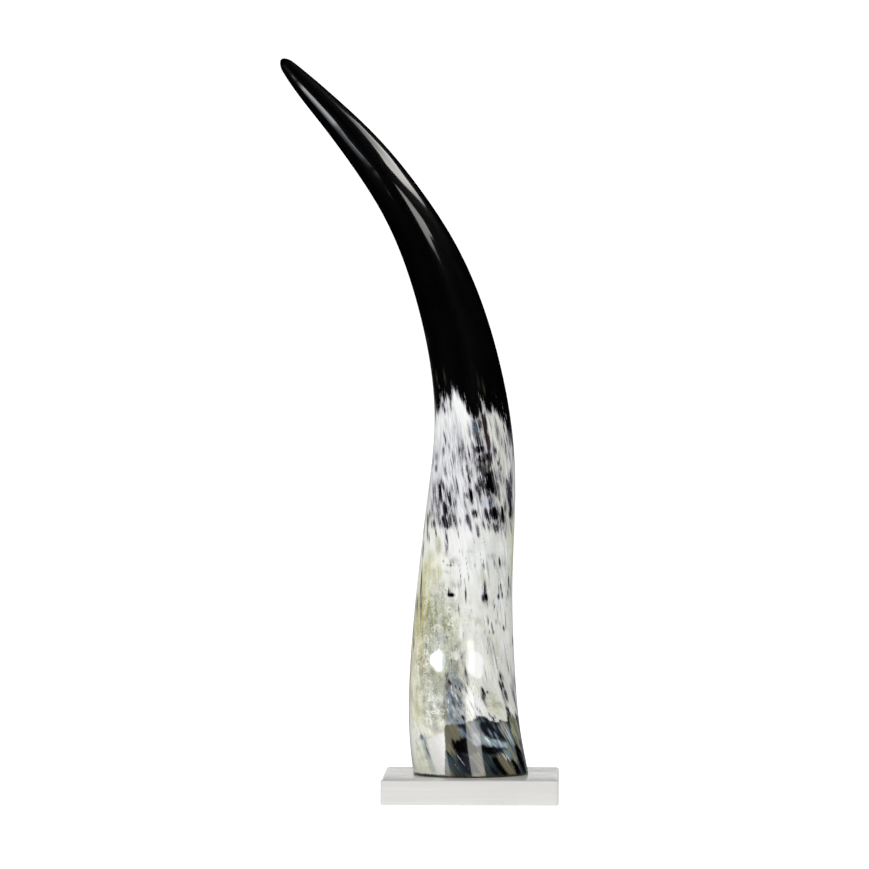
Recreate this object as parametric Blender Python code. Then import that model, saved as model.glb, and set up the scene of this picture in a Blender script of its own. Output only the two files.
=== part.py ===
# Mounted cow horn: a polished horn standing on its cut end, on a square stone plinth.
# Units are metres. The origin is the centre of the plinth's underside and +Z is up.
# The horn's tip leans towards -X and, less, back towards +Y.

import bmesh
import bpy
import numpy as np
from mathutils import Matrix, Vector

MM = 0.001

# Plinth: a low square block with lightly rounded edges.
PLINTH_SIDE = 127 * MM
PLINTH_HEIGHT = 18 * MM
PLINTH_ROUND = 1.5 * MM
PLINTH_ROUND_STEPS = 3

# Clearance between the horn's cut end and the plinth's top.
REST_GAP = 0.3 * MM

# Horn: places along its middle line, from below the cut to the tip.
# Each is height, sideways offset, backward offset and half the horn's width there, in mm.
HORN_STATIONS = (
    (0, 3, -6, 42.5),
    (45, -4.5, 1, 41),
    (90, -6.5, 5, 39),
    (150, -5, 5.5, 35.5),
    (210, -0.5, 3.5, 32.5),
    (262, 1.5, 1.5, 29),
    (312, -4, 0, 26),
    (358, -15.5, -2.5, 23.5),
    (398, -31, -6, 20.5),
    (434, -51, -6.5, 17),
    (466, -74, 0.5, 14.5),
    (500, -103.5, 16, 11),
    (528, -129.5, 31, 7.5),
    (540.5, -140.5, 37.5, 5),
)
# The section is an oval, flatter front to back at the cut end than at the tip.
HORN_DEPTH_AT_CUT = 0.82
HORN_DEPTH_AT_TIP = 0.90
# Near the cut end the oval is turned, its right side backward, and it straightens upwards.
HORN_TURN_AT_CUT = 20
HORN_TURN_LENGTH = 90 * MM
HORN_TIP_ROUND = 8 * MM
HORN_RIM_ROUND = 0.6 * MM
HORN_SIDES = 48
HORN_RINGS = 62
HORN_TIP_RINGS = 6


def clear_objects():
    for thing in list(bpy.data.objects):
        bpy.data.objects.remove(thing, do_unlink=True)


def surface_material(name, colour, roughness, coat):
    material = bpy.data.materials.new(name)
    material.use_nodes = True
    shader = material.node_tree.nodes["Principled BSDF"]
    shader.inputs["Base Color"].default_value = (*colour, 1.0)
    shader.inputs["Metallic"].default_value = 0.0
    shader.inputs["Roughness"].default_value = roughness
    shader.inputs["Coat Weight"].default_value = coat
    return material


def add_object(name, bm, material, sharp_angle):
    """Turns a finished bmesh into an object, shaded smooth up to sharp_angle."""
    mesh = bpy.data.meshes.new(name)
    bm.to_mesh(mesh)
    bm.free()
    mesh.shade_smooth()
    mesh.set_sharp_from_angle(angle=sharp_angle)
    mesh.materials.append(material)
    thing = bpy.data.objects.new(name, mesh)
    bpy.context.scene.collection.objects.link(thing)
    return thing


def natural_spline(knots, values):
    """A smooth curve through the values at the knots, straight at both ends."""
    gaps = np.diff(knots)
    slopes = np.diff(values, axis=0) / gaps[:, None]
    count = len(knots)
    system = np.eye(count)
    change = np.zeros_like(values)
    for i in range(1, count - 1):
        system[i, i - 1 : i + 2] = gaps[i - 1], 2 * (gaps[i - 1] + gaps[i]), gaps[i]
        change[i] = 6 * (slopes[i] - slopes[i - 1])
    bends = np.linalg.solve(system, change)

    def at(place):
        i = int(np.clip(np.searchsorted(knots, place, side="right") - 1, 0, count - 2))
        low = (knots[i + 1] - place) / gaps[i]
        high = 1 - low
        straight = low * values[i] + high * values[i + 1]
        bent = (low**3 - low) * bends[i] + (high**3 - high) * bends[i + 1]
        return straight + bent * gaps[i] ** 2 / 6

    return at


def horn_frames():
    """One matrix for each ring of the horn, which places a unit circle as that ring's oval."""
    stations = np.array(HORN_STATIONS, float)[:, [1, 2, 0, 3]] * MM
    steps = np.linalg.norm(np.diff(stations[:, :3], axis=0), axis=1)
    knots = np.concatenate([[0.0], np.cumsum(steps)])
    line = natural_spline(knots, stations)
    length = knots[-1]
    body = np.linspace(0, length - HORN_TIP_ROUND, HORN_RINGS)
    swing = np.linspace(0, np.pi / 2, HORN_TIP_RINGS + 1)[1:-1]
    tip = length - HORN_TIP_ROUND * (1 - np.sin(swing))
    frames = []
    for place in [*body, *tip]:
        x, y, z, half_width = line(place)
        ahead = Vector((line(place + MM) - line(place - MM))[:3]).normalized()
        side = Vector((ahead.z, 0, -ahead.x)).normalized()
        depth = ahead.cross(side)
        turn = np.radians(HORN_TURN_AT_CUT) * max(1 - place / HORN_TURN_LENGTH, 0)
        side, depth = (
            side * np.cos(turn) + depth * np.sin(turn),
            depth * np.cos(turn) - side * np.sin(turn),
        )
        to_tip = min((length - place) / HORN_TIP_ROUND, 1)
        half_width *= np.sqrt(1 - (1 - to_tip) ** 2)
        share = place / length
        flat = HORN_DEPTH_AT_CUT + (HORN_DEPTH_AT_TIP - HORN_DEPTH_AT_CUT) * share
        columns = side * half_width, depth * half_width * flat, ahead, Vector((x, y, z))
        frame = Matrix([(*column, 0) for column in columns]).transposed()
        frame[3][3] = 1
        frames.append(frame)
    return frames, Vector(line(length)[:3])


def next_ring(bm, edges):
    """Extrudes a ring of edges and returns the new ring's vertices and edges."""
    grown = bmesh.ops.extrude_edge_only(bm, edges=edges)["geom"]
    verts = {part for part in grown if isinstance(part, bmesh.types.BMVert)}
    new_edges = {edge for vert in verts for edge in vert.link_edges}
    return list(verts), [edge for edge in new_edges if verts.issuperset(edge.verts)]


def make_horn(material):
    frames, tip = horn_frames()
    bm = bmesh.new()
    bmesh.ops.create_circle(bm, segments=HORN_SIDES, radius=1, matrix=frames[0])
    edges = list(bm.edges)
    for before, after in zip(frames, frames[1:]):
        ring, edges = next_ring(bm, edges)
        bmesh.ops.transform(bm, matrix=after @ before.inverted(), verts=ring)
    apex, _ = next_ring(bm, edges)
    bmesh.ops.pointmerge(bm, verts=apex, merge_co=tip)

    foot = Vector((0, 0, PLINTH_HEIGHT + REST_GAP))
    everything = [*bm.verts, *bm.edges, *bm.faces]
    bmesh.ops.bisect_plane(
        bm, geom=everything, dist=0.01 * MM, plane_co=foot, plane_no=(0, 0, -1), clear_outer=True
    )
    rim = [edge for edge in bm.edges if edge.is_boundary]
    bmesh.ops.contextual_create(bm, geom=rim)
    bmesh.ops.bevel(
        bm, geom=rim, offset=HORN_RIM_ROUND, segments=2, profile=0.5, affect="EDGES", material=-1
    )
    bmesh.ops.recalc_face_normals(bm, faces=bm.faces)
    return add_object("horn", bm, material, sharp_angle=np.radians(50))


def make_plinth(material):
    bm = bmesh.new()
    place = Matrix.Translation((0, 0, PLINTH_HEIGHT / 2))
    size = Matrix.Diagonal((PLINTH_SIDE, PLINTH_SIDE, PLINTH_HEIGHT, 1))
    bmesh.ops.create_cube(bm, size=1, matrix=place @ size)
    bmesh.ops.bevel(
        bm,
        geom=list(bm.edges),
        offset=PLINTH_ROUND,
        segments=PLINTH_ROUND_STEPS,
        profile=0.5,
        affect="EDGES",
        material=-1,
    )
    return add_object("plinth", bm, material, sharp_angle=np.radians(40))


def main():
    clear_objects()
    make_horn(surface_material("polished horn", (0.42, 0.42, 0.38), roughness=0.15, coat=0.5))
    make_plinth(surface_material("pale stone", (0.68, 0.68, 0.67), roughness=0.35, coat=0.0))


main()
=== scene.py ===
# Mounted cow horn: the polished, marked horn and its stone plinth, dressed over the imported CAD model.
# Lengths are metres unless a name or note says mm. The front of the horn faces -Y.

from math import cos, radians, sin

import bmesh
import bpy
import numpy as np
from mathutils import Matrix, Vector


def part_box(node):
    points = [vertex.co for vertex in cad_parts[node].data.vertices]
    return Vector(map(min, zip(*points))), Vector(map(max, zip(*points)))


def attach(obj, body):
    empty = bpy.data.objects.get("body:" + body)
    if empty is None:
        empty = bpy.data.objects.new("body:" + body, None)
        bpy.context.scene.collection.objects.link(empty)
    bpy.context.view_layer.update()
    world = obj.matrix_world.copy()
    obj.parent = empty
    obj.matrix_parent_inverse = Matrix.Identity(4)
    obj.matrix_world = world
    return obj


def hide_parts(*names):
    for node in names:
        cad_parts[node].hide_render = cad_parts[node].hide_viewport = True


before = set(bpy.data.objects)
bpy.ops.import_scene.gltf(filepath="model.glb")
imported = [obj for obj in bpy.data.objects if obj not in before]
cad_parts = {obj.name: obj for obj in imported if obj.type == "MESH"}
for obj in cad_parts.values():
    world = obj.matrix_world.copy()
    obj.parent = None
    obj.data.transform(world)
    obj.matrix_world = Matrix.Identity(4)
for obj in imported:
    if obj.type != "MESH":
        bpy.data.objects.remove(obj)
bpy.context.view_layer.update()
mm = 0.001


# Small helpers

def screenColour(red, green, blue):  # a colour as it should look in full light, 0 to 255
    parts = np.array([red, green, blue]) / 255
    return np.where(parts > 0.04045, ((parts + 0.055) / 1.055) ** 2.4, parts / 12.92)


def unit(vectors):
    return vectors / np.linalg.norm(vectors, axis=1)[:, None]


def smoothStep(low, high, value):
    share = np.clip((value - low) / (high - low), 0, 1)
    return share * share * (3 - 2 * share)


def pieceFromBmesh(name, bm, material, sharpAngle):  # edges sharper than the angle, in degrees, stay sharp
    mesh = bpy.data.meshes.new(name)
    bm.to_mesh(mesh)
    bm.free()
    mesh.shade_smooth()
    mesh.set_sharp_from_angle(angle=radians(sharpAngle))
    mesh.materials.append(material)
    piece = bpy.data.objects.new(name, mesh)
    bpy.context.scene.collection.objects.link(piece)
    return piece


def newMaterial(name):
    material = bpy.data.materials.new(name)
    material.use_nodes = True
    return material, material.node_tree, material.node_tree.nodes["Principled BSDF"]


def addNode(tree, kind, **settings):
    node = tree.nodes.new(kind)
    for key, value in settings.items():
        setattr(node, key, value)
    return node


def feed(tree, socket, value):  # the value is a number, a colour or another node's output
    if isinstance(value, (int, float)):
        socket.default_value = value
    elif isinstance(value, np.ndarray):
        socket.default_value = (*value, 1.0)
    else:
        tree.links.new(value, socket)


def noiseNode(tree, vector, stretch, detail=2.0, roughness=0.5, scale=1.0):
    mapping = addNode(tree, "ShaderNodeMapping")
    mapping.inputs["Scale"].default_value = [part * scale for part in stretch]
    tree.links.new(vector, mapping.inputs["Vector"])
    noise = addNode(tree, "ShaderNodeTexNoise", noise_dimensions="3D")
    noise.inputs["Scale"].default_value = 1.0
    noise.inputs["Detail"].default_value = detail
    noise.inputs["Roughness"].default_value = roughness
    tree.links.new(mapping.outputs["Vector"], noise.inputs["Vector"])
    return noise.outputs["Fac"]


def shiftNode(tree, vector, scale, reach):  # moves places about by noise, for bending patterns
    noise = addNode(tree, "ShaderNodeTexNoise", noise_dimensions="3D")
    noise.inputs["Scale"].default_value = scale
    tree.links.new(vector, noise.inputs["Vector"])
    shifted = addNode(tree, "ShaderNodeVectorMath", operation="MULTIPLY_ADD")
    shifted.inputs[1].default_value = (reach, reach, reach)
    tree.links.new(noise.outputs["Color"], shifted.inputs[0])
    tree.links.new(vector, shifted.inputs[2])
    return shifted.outputs["Vector"]


def mathNode(tree, operation, *values):
    node = addNode(tree, "ShaderNodeMath", operation=operation)
    for socket, value in zip(node.inputs, values):
        feed(tree, socket, value)
    return node.outputs["Value"]


def rangeNode(tree, value, fromLow, fromHigh, toLow=0.0, toHigh=1.0):
    node = addNode(tree, "ShaderNodeMapRange", interpolation_type="SMOOTHSTEP", clamp=True)
    sockets = ("Value", "From Min", "From Max", "To Min", "To Max")
    for name, number in zip(sockets, (value, fromLow, fromHigh, toLow, toHigh)):
        feed(tree, node.inputs[name], number)
    return node.outputs["Result"]


def mixNode(tree, share, first, second, blend="MIX"):
    node = addNode(tree, "ShaderNodeMix", data_type="RGBA", blend_type=blend)
    for socket, value in ((node.inputs["Factor"], share), (node.inputs[6], first), (node.inputs[7], second)):
        feed(tree, socket, value)
    return node.outputs[2]


# Camera: long lens, level, slightly to the right of square on

camera = {
    "azimuth": 1.64,  # degrees to the right
    "distance": 3.083,
    "aside": -0.0267,
    "height": 0.2643,
    "lens": 175.8,
    "sensor": 36.0,
    "pixels": 869,  # width and height of the photo
}


def makeCamera():
    turn = radians(camera["azimuth"])
    ahead = Vector((-sin(turn), cos(turn), 0))
    right = Vector((cos(turn), sin(turn), 0))
    data = bpy.data.cameras.new("photoCamera")
    data.lens = camera["lens"]
    data.sensor_width = camera["sensor"]
    data.clip_start, data.clip_end = 0.1, 100.0
    made = bpy.data.objects.new("photoCamera", data)
    made.location = ahead * -camera["distance"] + right * camera["aside"]
    made.location.z = camera["height"]
    made.rotation_euler = (radians(90), 0, turn)
    bpy.context.scene.collection.objects.link(made)
    bpy.context.scene.camera = made
    return ahead, right, made.location.copy()


cameraAhead, cameraRight, cameraEye = makeCamera()
print("camera placed")


def inPhoto(points):  # where points in metres fall in the photo, in pixels, and the rays to them
    away = points - np.array(cameraEye)
    deep = away @ np.array(cameraAhead)
    zoom = camera["lens"] / camera["sensor"] * camera["pixels"]
    across = camera["pixels"] / 2 + zoom * (away @ np.array(cameraRight)) / deep
    down = camera["pixels"] / 2 - zoom * away[:, 2] / deep
    return across, down, unit(away)


# Horn: its line, as in the CAD source

horn = {
    # height, sideways, backward and half width, in mm, along the middle line
    "stations": [
        (0, 3, -6, 42.5), (45, -4.5, 1, 41), (90, -6.5, 5, 39), (150, -5, 5.5, 35.5),
        (210, -0.5, 3.5, 32.5), (262, 1.5, 1.5, 29), (312, -4, 0, 26), (358, -15.5, -2.5, 23.5),
        (398, -31, -6, 20.5), (434, -51, -6.5, 17), (466, -74, 0.5, 14.5), (500, -103.5, 16, 11),
        (528, -129.5, 31, 7.5), (540.5, -140.5, 37.5, 5),
    ],
    "depthAtCut": 0.82,  # share of the width
    "depthAtTip": 0.90,
    "turnAtCut": 20.0,  # degrees
    "turnLength": 90.0,
    "tipRound": 8.0,
    "sides": 288,
    "settle": 60.0,  # rings below this lean over, to lie level at the cut
    "halvings": 40,  # steps in the search for the cut
    "fineUpTo": 300.0,  # rings are closest together below this, where the markings are
    "fineStep": 1.25,
    "coarseStep": 4.2,
    "tipRings": 10,
    "rimRound": 0.6,
    "rimSteps": 3,
    # the photo shows the horn slightly narrower than the CAD: place, and mm off each side
    "slim": [
        (-40, 0.6), (60, 0.6), (110, 0.65), (150, 0.65), (185, 0.55), (208, 0.28), (235, 0.15),
        (262, 0.3), (285, 0.6), (315, 0.8), (365, 0.8), (420, 0.8), (455, 0.6), (490, 0.4),
        (525, 0.35), (550, 0.5), (575, 0.75), (590, 1.0), (700, 1.0),
    ],
    # low hand-worked relief down the front: place in mm, and how far it stands forward
    "relief": [
        (-40, 3.1), (0, 3.1), (10, 3.1), (20, 3.0), (28, 2.65), (38, 2.15), (48, 1.65), (56, 1.3),
        (63, 0.95), (70, 0.55), (76, 0.25), (81, 0.08), (86, -0.02), (90, -0.06), (93, -0.13),
        (96, -0.33), (101, -0.83), (106, -1.33), (111, -1.83), (115, -2.23), (118, -2.46),
        (122, -2.58), (130, -2.58), (160, -2.3), (200, -1.6), (240, -0.85), (280, -0.2),
        (310, 0), (350, 0), (700, 0),
    ],
    "reliefFade": 1.5,  # the power by which it dies away from the front round to the back
}


def naturalSpline(knots, values):  # a smooth curve through the values, bending freely at its ends
    gaps = np.diff(knots)
    slopes = np.diff(values, axis=0) / gaps[:, None]
    system = np.eye(len(knots))
    change = np.zeros_like(values)
    for i in range(1, len(knots) - 1):
        system[i, i - 1:i + 2] = gaps[i - 1], 2 * (gaps[i - 1] + gaps[i]), gaps[i]
        change[i] = 6 * (slopes[i] - slopes[i - 1])
    bends = np.linalg.solve(system, change)

    def at(places):
        i = np.clip(np.searchsorted(knots, places, side="right") - 1, 0, len(knots) - 2)
        low = ((knots[i + 1] - places) / gaps[i])[:, None]
        high = 1 - low
        straight = low * values[i] + high * values[i + 1]
        bent = (low**3 - low) * bends[i] + (high**3 - high) * bends[i + 1]
        return straight + bent * (gaps[i] ** 2)[:, None] / 6

    return at


def splineOf(rows):  # rows of a place and its value
    rows = np.array(rows, float)
    return naturalSpline(rows[:, 0], rows[:, 1:])


stations = np.array(horn["stations"], float)[:, [1, 2, 0, 3]]
stationGaps = np.linalg.norm(np.diff(stations[:, :3], axis=0), axis=1)
hornKnots = np.concatenate([[0.0], np.cumsum(stationGaps)])
hornLine = naturalSpline(hornKnots, stations)
hornLength = hornKnots[-1]
reliefLine = splineOf(horn["relief"])
slimLine = splineOf(horn["slim"])


def hornWidth(places):
    halfWidth = hornLine(places)[:, 3] - slimLine(places)[:, 0]
    toTip = np.clip((hornLength - places) / horn["tipRound"], 0, 1)
    return halfWidth * np.sqrt(1 - (1 - toTip) ** 2)


def hornRings(places):  # each ring's centre, its two directions, and its depth as a share of its width
    ahead = unit(hornLine(places + 1)[:, :3] - hornLine(places - 1)[:, :3])
    side = unit(np.stack([ahead[:, 2], 0 * places, -ahead[:, 0]], axis=1))
    depth = np.cross(ahead, side)
    turn = np.radians(horn["turnAtCut"]) * np.clip(1 - places / horn["turnLength"], 0, 1)
    turn = turn[:, None]
    side, depth = side * np.cos(turn) + depth * np.sin(turn), depth * np.cos(turn) - side * np.sin(turn)
    flat = horn["depthAtCut"] + (horn["depthAtTip"] - horn["depthAtCut"]) * places / hornLength
    return hornLine(places)[:, :3], side, depth, flat


def hornSurface(places, angles):  # mm along the line and radians round it, to points in mm
    centres, side, depth, flat = hornRings(places)
    halfWidth = hornWidth(places)
    forward = reliefLine(places)[:, 0] * (0.5 - 0.5 * np.sin(angles)) ** horn["reliefFade"]
    across = (halfWidth * np.cos(angles))[:, None] * side
    return centres + across + (halfWidth * flat * np.sin(angles) - forward)[:, None] * depth


def nextRing(bm, edges):
    grown = bmesh.ops.extrude_edge_only(bm, edges=edges)["geom"]
    verts = {part for part in grown if isinstance(part, bmesh.types.BMVert)}
    newEdges = {edge for vert in verts for edge in vert.link_edges}
    return list(verts), [edge for edge in newEdges if verts.issuperset(edge.verts)]


def cutPlaces(angles, height):  # where the horn's surface meets the level cut, for each angle
    low, high = np.zeros_like(angles), np.full_like(angles, horn["settle"])
    for _ in range(horn["halvings"]):
        middle = (low + high) / 2
        below = hornSurface(middle, angles)[:, 2] < height
        low, high = np.where(below, middle, low), np.where(below, high, middle)
    return low


def ringPlaces():  # mm along the line, from the first ring above the cut to the last below the tip
    bodyEnd = hornLength - horn["tipRound"]
    fine = np.arange(horn["fineStep"], horn["fineUpTo"], horn["fineStep"])
    coarse = np.linspace(fine[-1], bodyEnd, int((bodyEnd - fine[-1]) / horn["coarseStep"]) + 1)[1:]
    swing = np.linspace(0, np.pi / 2, horn["tipRings"] + 1)[1:-1]
    tip = hornLength - horn["tipRound"] * (1 - np.sin(swing))
    return [*fine, *coarse, *tip]


def makeHornSkin(material):
    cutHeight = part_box("horn")[0].z / mm
    bm = bmesh.new()
    angleLayer = bm.verts.layers.float.new("turnAngle")
    placeLayer = bm.verts.layers.float.new("place")
    bmesh.ops.create_circle(bm, segments=horn["sides"], radius=1)
    for vert in bm.verts:
        vert[angleLayer] = np.arctan2(vert.co.y, vert.co.x)
        vert[placeLayer] = 0.0
    edges = list(bm.edges)
    for place in ringPlaces():
        ring, edges = nextRing(bm, edges)
        for vert in ring:
            vert[placeLayer] = place
    apex, _ = nextRing(bm, edges)
    for vert in apex:
        vert[placeLayer] = hornLength
    verts = list(bm.verts)
    angles = np.array([vert[angleLayer] for vert in verts])
    places = np.array([vert[placeLayer] for vert in verts])
    # the rings lean over from level at the cut to square across the line further up
    settle = horn["settle"]
    starts = cutPlaces(angles, cutHeight)
    places = np.where(places < settle, starts + places * (settle - starts) / settle, places)
    points = hornSurface(places, angles)
    for vert, point, place in zip(verts, points, places):
        vert.co = point * mm
        vert[placeLayer] = place
    tipPoint = hornSurface(np.array([hornLength]), np.zeros(1))[0]
    bmesh.ops.pointmerge(bm, verts=apex, merge_co=Vector(tipPoint) * mm)
    rim = [edge for edge in bm.edges if edge.is_boundary]
    bmesh.ops.contextual_create(bm, geom=rim)
    bmesh.ops.bevel(bm, geom=rim, offset=horn["rimRound"] * mm, segments=horn["rimSteps"], profile=0.5,
                    affect="EDGES", material=-1)
    bmesh.ops.recalc_face_normals(bm, faces=bm.faces)
    skin = pieceFromBmesh("hornSkin", bm, material, sharpAngle=50)
    skin.data.attributes.remove(skin.data.attributes["turnAngle"])
    return skin


# Markings: strokes and washes laid along the horn's fibres, placed where the photo shows them

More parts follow.
